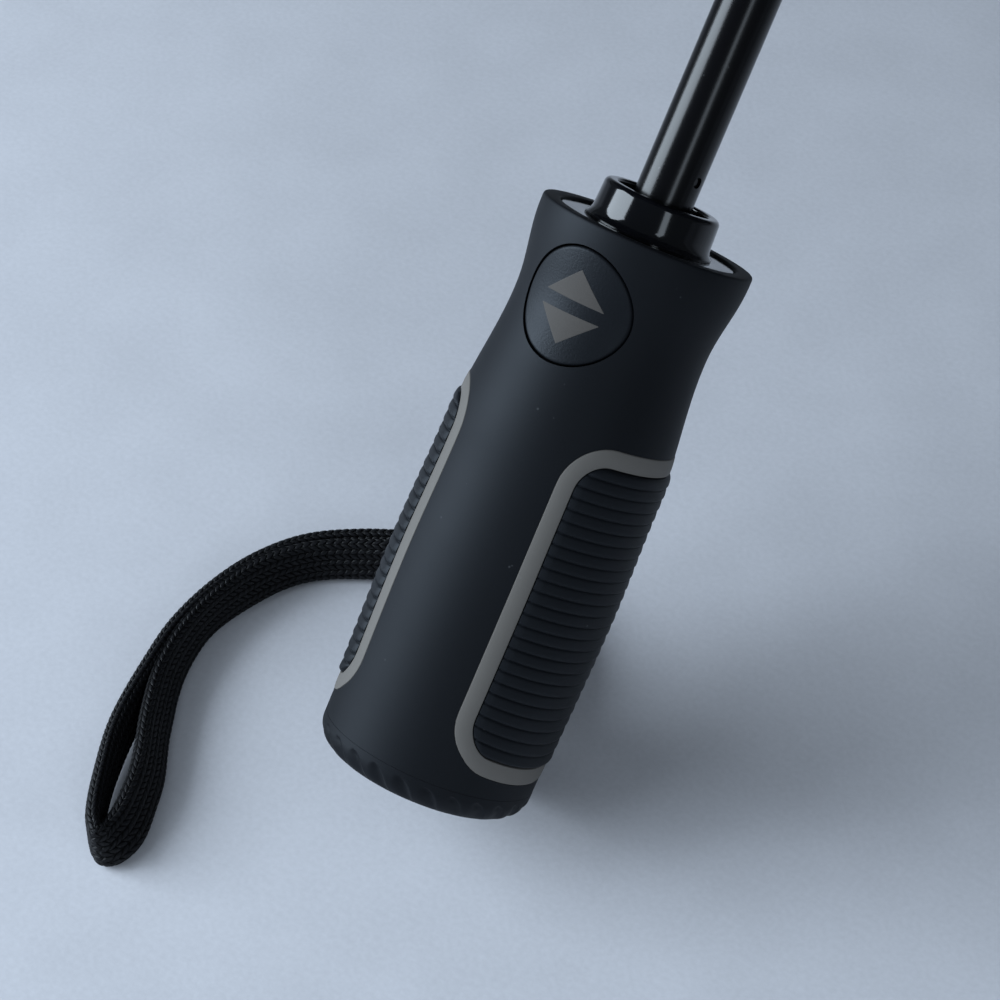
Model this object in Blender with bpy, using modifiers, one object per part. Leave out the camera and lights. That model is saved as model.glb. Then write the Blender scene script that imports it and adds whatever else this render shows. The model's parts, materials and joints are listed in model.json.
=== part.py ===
# An automatic folding umbrella, open, resting on two rib tips and the far edge of its handle.
# Lengths are in metres. Heights run up the shaft from the flat foot of the handle.
# In the umbrella's own frame +Z is the shaft, -Y is the button side, +Y is the floor side.
import math

import bmesh
import bpy
from mathutils import Matrix, Vector

# General fits
gap = 0.0003                 # between pieces that touch
overrun = 0.002              # how far a cutter runs past what it cuts
weld_distance = 0.000002

# Handle body
handle_length = 0.1035
grip_radius = 0.02005        # widest, at the belly
belly_height = 0.038
shoulder_radius = 0.0195
shoulder_height = 0.062
neck_radius = 0.0175
neck_height = 0.087
flare_radius = 0.01915
flare_height = 0.1021
foot_radius = 0.0196
lip_thickness = 0.0031
lip_rounding = 0.0005
body_rings = 3               # rings between two stations of the outline

# End cap
cap_height = 0.0052
cap_edge_rounding = 0.004
flute_count = 25
flute_depth = 0.0005
flute_slant_share = 0.55     # how far a flute leans back, in flute widths

# Top plate and collar
plate_recess = 0.0004
plate_thickness = 0.0012
collar_rise = 0.0065         # above the lip
collar_radius = 0.0105
collar_base_radius = 0.0119
collar_bore = 0.0082
collar_rounding = 0.0008
collar_skirt = 0.0039        # below the plate
socket_floor_thickness = 0.0016

# Tubes
inner_tube_radius = 0.0052
tube_wall = 0.00065
tube_clearance = 0.00035
inner_tube_foot = 0.030      # height of its lower end in the handle
tube_travel = 0.128          # each outer tube over the next one in
tube_step = 0.002            # lower ends, folded down
tube_overlap = 0.023         # left in each other when drawn out
outer_tube_length = 0.1995
crown_below_tube_top = 0.0015
latch_hole_radius = 0.00095
latch_pin_radius = 0.00065
latch_height = 0.0048        # above the collar's top

# Button and its spring
button_radius = 0.0100
button_drop = 0.0145         # centre below the lip
button_gap = 0.0004
button_depth = 0.0026
button_face_radius = 0.0180
button_face_fall = 0.0004
button_travel = 0.0020
button_well = 0.0022         # room below the button
spring_pocket_radius = 0.0045
button_spring_radius = 0.0032
button_spring_wire = 0.00035
button_spring_curls = 4
pocket_floor_radius = 0.0072

# Grip frames and pads, one set on each side
pad_bottom = 0.0134
pad_top = 0.0668
pad_half_angle = math.radians(49.1)
frame_width = 0.0031
frame_corner = 0.0052
corner_shares = [0, 0.1, 0.3, 0.6, 1]                    # rings round a corner
pad_bow = 0.0018             # how far the bottom edge sags in the middle
pocket_radius = 0.0174
frame_proud = 0.00015
rib_count = 25
rib_crest = 0.00085
rib_valley = 0.00035
crest_share = 0.25             # of a rib's pitch, from its lower edge to its crest
pad_columns = 8

# Wrist strap and its pin
strap_width = 0.0085
strap_thickness = 0.0019
strap_slot_length = 0.0100
strap_slot_width = 0.0078
strap_height = 0.0140        # of the slot's middle
strap_pin_radius = 0.00125
strap_pin_depth = 0.0062     # below the body's surface
strap_pin_top = 0.0080       # above the slot's middle
strap_step_share = 0.55      # of the strap's width, between two points

# Crown and its wire
hinge_radius = 0.0115        # of the ring of rib pivots
crown_radius = 0.0134
crown_flange_radius = 0.0140
crown_bottom = 0.0045        # below the pivots
crown_slot_top = 0.0019      # above the pivots
crown_top = 0.0030
crown_groove = 0.0008
wire_radius = 0.00045
rib_slot_width = 0.0044
slot_floor_radius = 0.0097
cap_stud_radius = 0.0029
top_cap_radius = 0.0095
top_cap_height = 0.0080

# Runner
runner_radius = 0.0096
runner_fin_radius = 0.0132
runner_fin_height = 0.0052
runner_below = 0.0100
runner_above = 0.0040
runner_clearance = 0.0003
runner_groove = 0.0004         # depth of the finger groove
groove_middle = 0.0060         # below the runner's pins
groove_half = 0.0010

# Springs round and in the shaft
closing_spring_radius = 0.00875
closing_spring_wire = 0.00045
closing_spring_curls = 9
drive_spring_radius = 0.0034
drive_spring_wire = 0.0004
drive_spring_curls = 7
drive_spring_length = 0.050

# Ribs
rib_set_count = 8
top_rib_length = 0.172
stretcher_length = 0.089
middle_rib_length = 0.175
outer_rib_length = 0.188
top_rib_slope = math.radians(12)
middle_rib_slope = math.radians(20)
outer_rib_slope = math.radians(36)
channel_wall = 0.0005
channel_inner_width = 0.0026
channel_top = 0.0020
channel_bottom = 0.0014
rivet_radius = 0.0005
rivet_clearance = 0.0003
elbow_offset = 0.0024        # pivot above the top rib's line
elbow_ear = 0.0015
web_setback = 0.0040
web_start = 0.0030
bar_width = 0.0020
stretcher_half_height = 0.0008
eye_radius = 0.0012
middle_half_height = 0.0012
middle_drop = 0.0019         # middle rib's line below its elbow
knee_drop = 0.0017           # knee pivot below the middle rib's line
knee_slope = 0.0036          # from the knee to where the middle rib's underside is straight
outer_rib_radius = 0.0010
outer_rib_bow = 0.0057
fork_length = 0.0065
tip_radius = 0.0016
tip_length = 0.0060
tip_neck_radius = 0.0012

# Canopy
cloth_thickness = 0.0006
cloth_hole_radius = 0.0050
cloth_above_crown = 0.0003
cloth_above_rib = 0.0012
hem_inset = 0.0060           # from the rib's end
hem_scallop = 0.024
gore_sag = 0.004
gore_columns = 4
outer_rib_shares = [0.3, 0.65, 1]                            # cloth rings along the outer rib
hem_pull_shares = [0, 0, 0, 0, 0, 0.1, 0.3, 0.6, 1]          # of hem_scallop, ring by ring
sag_shares = [0, 0, 0.5, 0.8, 1, 1, 0.9, 0.6, 0.3]           # of gore_sag, ring by ring

# Angles of the eight rib sets: two of them reach the floor
rib_turn = 2 * math.pi / rib_set_count
floor_azimuth = math.pi / 2
rib_azimuths = [floor_azimuth + rib_turn * (index + 0.5) for index in range(rib_set_count)]

# Worked out from the sizes above
plate_top = handle_length - plate_recess
plate_bottom = plate_top - plate_thickness
collar_top = handle_length + collar_rise
collar_bottom = plate_bottom - collar_skirt
socket_floor = collar_bottom + socket_floor_thickness
plate_outer = flare_radius - lip_thickness - gap
middle_bore = inner_tube_radius + tube_clearance
middle_tube_radius = middle_bore + tube_wall
outer_bore = middle_tube_radius + tube_clearance
outer_tube_radius = outer_bore + tube_wall
middle_tube_foot = socket_floor + gap + tube_travel
outer_tube_foot = socket_floor + gap + tube_step + 2 * tube_travel
inner_tube_top = middle_tube_foot + tube_overlap
middle_tube_top = outer_tube_foot + tube_overlap
outer_tube_top = outer_tube_foot + outer_tube_length
crown_height = outer_tube_top - crown_below_tube_top
runner_height = crown_height - 2 * stretcher_length * math.sin(top_rib_slope)
runner_travel = 2 * stretcher_length * (1 - math.sin(top_rib_slope))
tube_fit_radius = outer_tube_radius + runner_clearance
button_height = handle_length - button_drop
button_inner = button_face_radius - button_depth


def cosine_blend(start, end, share):
    return start + (end - start) * (1 - math.cos(math.pi * share)) / 2


def body_radius(height):
    """Outer radius of the handle at a height."""
    stations = [
        (cap_height, foot_radius),
        (belly_height, grip_radius),
        (shoulder_height, shoulder_radius),
        (neck_height, neck_radius),
        (flare_height, flare_radius),
    ]
    if height <= stations[0][0]:
        return foot_radius
    for (low, low_radius), (high, high_radius) in zip(stations, stations[1:]):
        if height <= high:
            return cosine_blend(low_radius, high_radius, (height - low) / (high - low))
    return flare_radius


# Rib geometry in the plane of one rib: radius from the shaft, and height
def along(start, slope, forward, up):
    """A point given along a member that falls at a slope, and square to it."""
    radius = start[0] + forward * math.cos(slope) + up * math.sin(slope)
    height = start[1] - forward * math.sin(slope) + up * math.cos(slope)
    return (radius, height)


crown_pivot = (hinge_radius, crown_height)
stretcher_pivot = along(crown_pivot, top_rib_slope, stretcher_length, 0)
elbow_pivot = along(crown_pivot, top_rib_slope, top_rib_length, elbow_offset)
knee_pivot = along(elbow_pivot, middle_rib_slope, middle_rib_length, -middle_drop - knee_drop)
rib_end = along(knee_pivot, outer_rib_slope, outer_rib_length, knee_drop)


def resting_lean():
    """Angle of the shaft above the floor, and the height of the foot's centre over the floor."""
    edge = (foot_radius - cap_edge_rounding, cap_edge_rounding)
    tip = (rib_end[0] * math.cos(rib_turn / 2), rib_end[1])
    across = tip[0] - edge[0]
    rise = tip[1] - edge[1]
    reach = math.hypot(across, rise)
    lean = math.atan2(across, rise) + math.asin((tip_radius - cap_edge_rounding) / reach)
    foot_lift = cap_edge_rounding + edge[0] * math.cos(lean) - edge[1] * math.sin(lean)
    return lean, foot_lift


lean_angle, foot_lift = resting_lean()
foot_back = rib_end[1] * math.cos(lean_angle)    # the origin lies under the middle of the rib tips


# Materials
def make_material(name, color, roughness, metallic=0.0):
    material = bpy.data.materials.new(name)
    material.use_nodes = True
    shader = material.node_tree.nodes["Principled BSDF"]
    shader.inputs["Base Color"].default_value = (*color, 1.0)
    shader.inputs["Roughness"].default_value = roughness
    shader.inputs["Metallic"].default_value = metallic
    return material


# Scene and placing
def clear_scene():
    for item in list(bpy.data.objects):
        bpy.data.objects.remove(item, do_unlink=True)


def new_collection(name):
    collection = bpy.data.collections.new(name)
    bpy.context.scene.collection.children.link(collection)
    return collection


clear_scene()
parts = new_collection("automatic_umbrella")
cutters = new_collection("cutters")
shaft = bpy.data.objects.new("umbrella_shaft_axis", None)
shaft.location = (0, -foot_back, foot_lift)
shaft.rotation_euler = (lean_angle - math.pi / 2, 0, 0)
parts.objects.link(shaft)


def place(item, height=0, parent=shaft):
    item.parent = parent
    item.location = (0, 0, height)
    return item


def as_part(name, mesh, material, height=0):
    item = bpy.data.objects.new(name, mesh)
    if not mesh.materials:
        mesh.materials.append(material)
    parts.objects.link(item)
    return place(item, height)


def as_cutter(mesh, name, height=0):
    item = bpy.data.objects.new(name, mesh)
    item.hide_render = True
    item.display_type = "WIRE"
    cutters.objects.link(item)
    return place(item, height)


def cut(item, cutter, operation="DIFFERENCE"):
    modifier = item.modifiers.new(cutter.name, "BOOLEAN")
    modifier.operation = operation
    modifier.object = cutter
    return item


# Meshes
def mesh_from(bm, name, smooth_angle=math.radians(35)):
    bmesh.ops.remove_doubles(bm, verts=bm.verts, dist=weld_distance)
    mesh = bpy.data.meshes.new(name)
    bm.to_mesh(mesh)
    bm.free()
    mesh.shade_smooth()
    mesh.set_sharp_from_angle(angle=smooth_angle)
    return mesh


def evaluated_mesh(item):
    """The finished mesh of a helper object, which is then removed."""
    bpy.context.view_layer.update()
    depsgraph = bpy.context.evaluated_depsgraph_get()
    mesh = bpy.data.meshes.new_from_object(item.evaluated_get(depsgraph), depsgraph=depsgraph)
    mesh.transform(item.matrix_world)
    bpy.data.objects.remove(item, do_unlink=True)
    bm = bmesh.new()
    bm.from_mesh(mesh)
    bpy.data.meshes.remove(mesh)
    return mesh_from(bm, "finished")


def helper(data, name="helper"):
    item = bpy.data.objects.new(name, data)
    cutters.objects.link(item)
    return item


def turned_mesh(profile, segments, closed=True):
    """A profile of (radius, height) points, running down its outer side, turned by Screw."""
    bm = bmesh.new()
    verts = [bm.verts.new((radius, 0, height)) for radius, height in profile]
    for first, second in zip(verts, verts[1:]):
        bm.edges.new((first, second))
    if closed:
        bm.edges.new((verts[-1], verts[0]))
    mesh = bpy.data.meshes.new("profile")
    bm.to_mesh(mesh)
    bm.free()
    item = helper(mesh)
    screw = item.modifiers.new("turn", "SCREW")
    screw.angle = 2 * math.pi
    screw.steps = segments
    screw.render_steps = segments
    screw.use_merge_vertices = True
    screw.merge_threshold = weld_distance
    return evaluated_mesh(item)


def tube_profile(outer, inner, bottom, top):
    return [(inner, top), (outer, top), (outer, bottom), (inner, bottom)]


def box_mesh(low, high):
    bm = bmesh.new()
    bmesh.ops.create_cube(bm, size=1.0)
    size = [end - start for start, end in zip(low, high)]
    middle = [(end + start) / 2 for start, end in zip(low, high)]
    bmesh.ops.scale(bm, vec=size, verts=bm.verts)
    bmesh.ops.translate(bm, vec=middle, verts=bm.verts)
    return mesh_from(bm, "box")


def rod_mesh(start, end, radius, sides=12, end_radius=None):
    bm = bmesh.new()
    direction = Vector(end) - Vector(start)
    turn = direction.to_track_quat("Z", "Y").to_matrix().to_4x4()
    matrix = Matrix.Translation((Vector(start) + Vector(end)) / 2) @ turn
    bmesh.ops.create_cone(
        bm, cap_ends=True, segments=sides, radius1=radius,
        radius2=radius if end_radius is None else end_radius,
        depth=direction.length, matrix=matrix,
    )
    return mesh_from(bm, "rod")


def outline_mesh(loops, half_thickness):
    """Flat outline with holes, in the X-Z plane, thick along Y."""
    curve = bpy.data.curves.new("outline", "CURVE")
    curve.dimensions = "2D"
    curve.fill_mode = "BOTH"
    curve.extrude = half_thickness
    for loop in loops:
        spline = curve.splines.new("POLY")
        spline.points.add(len(loop) - 1)
        spline.use_cyclic_u = True
        for point, (x, z) in zip(spline.points, loop):
            point.co = (x, z, 0, 1)
    item = helper(curve)
    item.rotation_euler = (math.pi / 2, 0, 0)
    return evaluated_mesh(item)


def arc(centre, radius, start, end, steps):
    """Points of an arc, its angles in degrees."""
    points = []
    for step in range(steps + 1):
        angle = math.radians(start + (end - start) * step / steps)
        points.append((centre[0] + radius * math.cos(angle), centre[1] + radius * math.sin(angle)))
    return points


def united_mesh(meshes):
    """Union of closed meshes."""
    items = [helper(mesh) for mesh in meshes]
    first, others = items[0], items[1:]
    for other in others:
        modifier = first.modifiers.new("join", "BOOLEAN")
        modifier.operation = "UNION"
        modifier.object = other
    mesh = evaluated_mesh(first)
    for other in others:
        bpy.data.objects.remove(other, do_unlink=True)
    return mesh


def coil_mesh(radius, wire, curls, bottom, top, name):
    """A round wire spring as a curve tube; its least gap to itself is measured and printed."""
    steps = 8
    points = []
    for step in range(curls * steps + 1):
        angle = 2 * math.pi * step / steps
        height = bottom + (top - bottom) * step / (curls * steps)
        points.append((radius * math.cos(angle), radius * math.sin(angle), height))
    curve = bpy.data.curves.new(name, "CURVE")
    curve.dimensions = "3D"
    curve.bevel_depth = wire
    curve.bevel_resolution = 1
    curve.use_fill_caps = True
    spline = curve.splines.new("POLY")
    spline.points.add(len(points) - 1)
    for point, place_at in zip(spline.points, points):
        point.co = (*place_at, 1)
    least = min(
        (Vector(first) - Vector(second)).length - 2 * wire
        for index, first in enumerate(points)
        for second in points[index + steps // 2:]
    )
    print(name, "least gap to itself, mm:", round(1000 * least, 2))
    return evaluated_mesh(helper(curve))


# Grip outline: half width in angle across, height along
def grip_outline(spread):
    """Closed loop of (angle, height) points round the pad, widened by a distance."""
    half = pad_half_angle + spread / grip_radius
    low = pad_bottom - spread
    high = pad_top + spread
    corner = frame_corner + spread
    corner_angle = corner / grip_radius
    steps = 4
    points = []
    corners = [
        (half - corner_angle, high - corner, 90, 0),
        (half - corner_angle, low + corner, 0, -90),
        (-half + corner_angle, low + corner, -90, -180),
        (-half + corner_angle, high - corner, 180, 90),
    ]
    edge_steps = [6, 5, 6, 5]
    for index, (angle, height, start, end) in enumerate(corners):
        for share_angle, lift in arc((0, 0), 1, start, end, steps):
            points.append((angle + share_angle * corner_angle, height + lift * corner))
        following = corners[(index + 1) % len(corners)]
        begin = points[-1]
        first_angle = math.radians(following[2])
        finish = (
            following[0] + math.cos(first_angle) * corner_angle,
            following[1] + math.sin(first_angle) * corner,
        )
        for step in range(1, edge_steps[index]):
            share = step / edge_steps[index]
            points.append(tuple(a + (b - a) * share for a, b in zip(begin, finish)))
    return [(angle, bowed(angle, height)) for angle, height in points]


def bowed(angle, height):
    """Lowers the outline's bottom edge in the middle."""
    across = min(1, abs(angle) / pad_half_angle)
    up = min(1, max(0, (height - pad_bottom) / (pad_top - pad_bottom)))
    return height - pad_bow * (1 - across ** 2) * (1 - up) ** 4


def on_handle(side_angle, angle, height, radius):
    turn = side_angle + angle
    return (radius * math.cos(turn), radius * math.sin(turn), height)


def grip_frame_mesh(side_angle):
    """A band round the pad, its inner and outer outlines lofted at two depths."""
    inner = grip_outline(gap)
    outer = grip_outline(frame_width)
    bm = bmesh.new()
    rings = []
    for (in_angle, in_height), (out_angle, out_height) in zip(inner, outer):
        in_top = body_radius(in_height) + frame_proud
        out_top = body_radius(out_height) + frame_proud
        corners = [
            on_handle(side_angle, in_angle, in_height, pocket_radius + gap),
            on_handle(side_angle, in_angle, in_height, in_top),
            on_handle(side_angle, out_angle, out_height, out_top),
            on_handle(side_angle, out_angle, out_height, pocket_radius + gap),
        ]
        rings.append([bm.verts.new(corner) for corner in corners])
    for index, ring in enumerate(rings):
        following = rings[(index + 1) % len(rings)]
        for corner in range(4):
            other = (corner + 1) % 4
            bm.faces.new((ring[corner], ring[other], following[other], following[corner]))
    bmesh.ops.recalc_face_normals(bm, faces=bm.faces)
    return mesh_from(bm, "frame")


def pad_half_width(height, spread):
    """Half width in angle at a height, with the outline's round corners."""
    corner = frame_corner + spread
    low = pad_bottom - spread
    high = pad_top + spread
    depth = min(height - low, high - height)
    inset = 0
    if depth < corner:
        inset = corner - math.sqrt(max(0, corner ** 2 - (corner - depth) ** 2))
    return pad_half_angle + (spread - inset) / grip_radius


def pad_rows():
    """Heights of the pad's rows: a crest and a valley for each rib, with its radius above the body."""
    pitch = (pad_top - pad_bottom) / rib_count
    rows = [(pad_bottom, rib_valley)]
    for index in range(rib_count):
        base = pad_bottom + pitch * index
        rows.append((base + pitch * crest_share, rib_crest))
        rows.append((base + pitch, rib_valley))
    return rows


def pad_mesh(side_angle, rows, spread, floor_radius, top_radius, columns):
    """A ribbed skin over a plain back, closed by walls along the outline."""
    bm = bmesh.new()

    def row_of(height, radius):
        half = pad_half_width(height, spread)
        verts = []
        for column in range(columns + 1):
            angle = half * (2 * column / columns - 1)
            verts.append(bm.verts.new(on_handle(side_angle, angle, bowed(angle, height), radius)))
        return verts

    top = [row_of(height, top_radius(height, crest)) for height, crest in rows]
    corner = frame_corner + spread
    backs = []
    for index, (height, crest) in enumerate(rows):
        near_end = min(height - rows[0][0], rows[-1][0] - height) <= corner + gap
        if near_end or index in (0, len(rows) - 1):
            backs.append(index)
    bottom = {index: row_of(rows[index][0], floor_radius) for index in backs}
    for first, second in zip(top, top[1:]):
        for column in range(columns):
            bm.faces.new((first[column], first[column + 1], second[column + 1], second[column]))
    for low, high in zip(backs, backs[1:]):
        first, second = bottom[low], bottom[high]
        for column in range(columns):
            bm.faces.new((first[column + 1], first[column], second[column], second[column + 1]))
        for edge, flip in ((0, False), (columns, True)):
            wall = [first[edge]] + [top[index][edge] for index in range(low, high + 1)] + [second[edge]]
            bm.faces.new(wall[::-1] if flip else wall)
    for index, flip in ((0, True), (len(rows) - 1, False)):
        upper, lower = top[index], bottom[index]
        for column in range(columns):
            wall = [lower[column], lower[column + 1], upper[column + 1], upper[column]]
            bm.faces.new(wall[::-1] if flip else wall)
    bmesh.ops.recalc_face_normals(bm, faces=bm.faces)
    return mesh_from(bm, "pad")


def make_handle():
    body = make_material("soft_touch_charcoal", (0.021, 0.025, 0.031), 0.55)
    rubber = make_material("ribbed_rubber", (0.008, 0.009, 0.011), 0.7)
    trim = make_material("grey_trim", (0.12, 0.115, 0.11), 0.45)
    gloss = make_material("gloss_black", (0.004, 0.005, 0.007), 0.08)

    heights = []
    stations = [cap_height + gap, belly_height, shoulder_height, neck_height, flare_height]
    for low, high in zip(stations, stations[1:]):
        for ring in range(body_rings):
            heights.append(low + (high - low) * ring / body_rings)
    heights.append(flare_height)
    skin = [(body_radius(height), height) for height in reversed(heights)]
    bore = inner_tube_radius + gap
    skirt = collar_radius + 2 * gap
    seat = plate_bottom - gap
    recess = flare_radius - lip_thickness
    profile = [
        (0, inner_tube_foot - gap),
        (bore, inner_tube_foot - gap),
        (bore, collar_bottom - gap),
        (skirt, collar_bottom - gap),
        (skirt, seat),
        (recess, seat),
        (recess, handle_length - lip_rounding),
        (recess + lip_rounding, handle_length),
        (flare_radius - 2 * lip_rounding, handle_length),
        (flare_radius - lip_rounding / 2, handle_length - lip_rounding / 2),
        *skin,
        (0, cap_height + gap),
    ]
    shell = as_part("handle_shell", turned_mesh(profile, 36, closed=False), body)

    button_axis_y = -(button_inner - button_well)
    hole = rod_mesh((0, button_axis_y, button_height),
                    (0, -flare_radius - overrun, button_height), button_radius + button_gap, 32)
    cut(shell, as_cutter(hole, "button_hole"))
    pocket = rod_mesh((0, -pocket_floor_radius, button_height),
                      (0, button_axis_y - overrun / 4, button_height), spring_pocket_radius, 16)
    cut(shell, as_cutter(pocket, "spring_pocket"))

    spread = frame_width + gap
    reach = pad_top - pad_bottom + 2 * spread
    low = pad_bottom - spread
    corner = frame_corner + spread
    ends = [corner * share for share in corner_shares]
    heights = [low + end for end in ends] + [low + reach - end for end in reversed(ends)]
    rows = [(height, 0) for height in heights]
    for side, angle in (("right", 0), ("left", math.pi)):
        cutter = pad_mesh(angle, rows, spread, pocket_radius,
                          lambda height, crest: grip_radius + overrun, pad_columns + 2)
        cut(shell, as_cutter(cutter, "grip_pocket_" + side))
        as_part("grip_frame_" + side, grip_frame_mesh(angle), trim)
        pad = pad_mesh(angle, pad_rows(), 0, pocket_radius + gap,
                       lambda height, crest: body_radius(height) + crest, pad_columns)
        as_part("grip_pad_" + side, pad, rubber)

    slot = box_mesh(
        (-strap_slot_width / 2, grip_radius - strap_pin_depth - strap_pin_radius * 2,
         strap_height - strap_slot_length / 2),
        (strap_slot_width / 2, grip_radius + overrun, strap_height + strap_slot_length / 2),
    )
    cut(shell, as_cutter(slot, "strap_slot"))
    pin_y = grip_radius - strap_pin_depth
    pin_bottom = cap_height + 2 * gap
    pin_top = strap_height + strap_pin_top
    pin_hole = rod_mesh((0, pin_y, cap_height - overrun), (0, pin_y, pin_top + gap),
                        strap_pin_radius + gap, 12)
    cut(shell, as_cutter(pin_hole, "strap_pin_hole"))
    pin = rod_mesh((0, pin_y, pin_bottom), (0, pin_y, pin_top), strap_pin_radius, 12)
    as_part("strap_pin", pin, make_material("pin_steel", (0.35, 0.35, 0.36), 0.3, 1.0))

    plate = tube_profile(plate_outer, collar_radius + 2 * gap, plate_bottom, plate_top)
    as_part("top_plate", turned_mesh(plate, 36), gloss)
    tube_hole = inner_tube_radius + gap
    base = plate_top + gap
    collar = [
        (collar_bore + collar_rounding / 2, collar_top),
        (collar_radius - collar_rounding, collar_top),
        (collar_radius - collar_rounding / 4, collar_top - collar_rounding / 3),
        (collar_radius, collar_top - collar_rounding),
        ((collar_radius + collar_base_radius) / 2, base + collar_rounding * 2),
        (collar_base_radius, base + collar_rounding / 2),
        (collar_base_radius, base),
        (collar_radius + gap, base),
        (collar_radius + gap, collar_bottom),
        (tube_hole, collar_bottom),
        (tube_hole, socket_floor),
        (collar_bore, socket_floor),
        (collar_bore, collar_top - collar_rounding / 2),
    ]
    as_part("collar", turned_mesh(collar, 36), gloss)
    as_part("end_cap", end_cap_mesh(), body)


def end_cap_mesh():
    """Rounded foot with slanted comma flutes pressed into its edge."""
    bm = bmesh.new()
    depth_shares = [1, 0]
    per_flute = len(depth_shares)
    columns = flute_count * per_flute
    flat = foot_radius - cap_edge_rounding
    angles = [0, 18, 38, 58, 76, 90]
    rings = []
    for index, degrees in enumerate(angles):
        angle = math.radians(degrees)
        radius = flat + cap_edge_rounding * math.sin(angle)
        height = cap_edge_rounding * (1 - math.cos(angle))
        share = index / (len(angles) - 1)
        strength = math.sin(math.pi * share)
        lean = flute_slant_share * 2 * math.pi / flute_count * cosine_blend(0, 1, share)
        ring = []
        for column in range(columns):
            inward = flute_depth * strength * depth_shares[column % per_flute]
            turn = 2 * math.pi * column / columns - lean
            ring.append(bm.verts.new((
                (radius - inward * math.sin(angle)) * math.cos(turn),
                (radius - inward * math.sin(angle)) * math.sin(turn),
                height + inward * math.cos(angle),
            )))
        rings.append(ring)
    for low, high in zip(rings, rings[1:]):
        for column in range(columns):
            other = (column + 1) % columns
            bm.faces.new((low[column], low[other], high[other], high[column]))
    top = [bm.verts.new((vert.co.x, vert.co.y, cap_height)) for vert in rings[-1]]
    for column in range(columns):
        other = (column + 1) % columns
        bm.faces.new((rings[-1][column], rings[-1][other], top[other], top[column]))
    bm.faces.new(rings[0][::-1])
    bm.faces.new(top)
    return mesh_from(bm, "end_cap")


def make_button():
    """A round press button whose face follows the waist, on a return spring."""
    material = make_material("button_black", (0.016, 0.018, 0.022), 0.5)
    inner = (0, -button_inner, button_height)
    outer = (0, -button_face_radius - overrun, button_height)
    blank = rod_mesh(inner, outer, button_radius, 32)
    reach = button_radius + overrun
    profile = [(0, button_height + reach)]
    steps = 8
    for step in range(steps + 1):
        share = 1 - 2 * step / steps
        profile.append((button_face_radius - button_face_fall * share ** 2, button_height + reach * share))
    profile.append((0, button_height - reach))
    face = turned_mesh(profile, 64, closed=False)
    cutter = helper(face)
    item = helper(blank)
    modifier = item.modifiers.new("face", "BOOLEAN")
    modifier.operation = "INTERSECT"
    modifier.object = cutter
    mesh = evaluated_mesh(item)
    bpy.data.objects.remove(cutter, do_unlink=True)
    mesh.transform(Matrix.Translation((0, button_inner, -button_height)))
    button = as_part("button", mesh, material)
    button.location = (0, -button_inner, button_height)

    spring = coil_mesh(button_spring_radius, button_spring_wire, button_spring_curls,
                       pocket_floor_radius + gap + button_spring_wire,
                       button_inner - gap - button_spring_wire, "button_spring")
    spring.transform(Matrix.Rotation(math.pi / 2, 4, "X"))
    item = as_part("button_spring", spring, make_material("spring_steel", (0.5, 0.5, 0.5), 0.3, 1.0))
    item.location = (0, 0, button_height)


def make_shaft():
    black_tube = make_material("gloss_black_tube", (0.006, 0.006, 0.007), 0.12, 0.6)
    steel = make_material("shaft_spring_steel", (0.5, 0.5, 0.5), 0.3, 1.0)
    inner = tube_profile(inner_tube_radius, inner_tube_radius - tube_wall, inner_tube_foot, inner_tube_top)
    tube = as_part("inner_tube", turned_mesh(inner, 24), black_tube)
    latch = collar_top + latch_height
    hole = rod_mesh((0, 0, latch), (inner_tube_radius + overrun, 0, latch), latch_hole_radius, 12)
    cut(tube, as_cutter(hole, "latch_hole"))
    pin = rod_mesh((0, 0, latch), (inner_tube_radius - latch_pin_radius / 2, 0, latch), latch_pin_radius, 10)
    as_part("latch_pin", pin, steel)
    bottom = inner_tube_foot + drive_spring_wire
    drive = coil_mesh(drive_spring_radius, drive_spring_wire, drive_spring_curls,
                      bottom, bottom + drive_spring_length, "drive_spring")
    as_part("drive_spring", drive, steel)

    length = middle_tube_top - middle_tube_foot
    middle = tube_profile(middle_tube_radius, middle_bore, 0, length)
    as_part("middle_tube", turned_mesh(middle, 24), black_tube, middle_tube_foot)
    outer = tube_profile(outer_tube_radius, outer_bore, 0, outer_tube_length)
    as_part("outer_tube", turned_mesh(outer, 24), black_tube, outer_tube_foot)


def slotted(item, count, low, high, inner, outer, name):
    """Cuts a ring of rib slots."""
    mesh = box_mesh((inner, -rib_slot_width / 2, low), (outer, rib_slot_width / 2, high))
    for index in range(count):
        cutter = as_cutter(mesh, name + "_" + str(index + 1), item.location.z)
        cutter.rotation_euler = (0, 0, rib_azimuths[index])
        cut(item, cutter)


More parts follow.
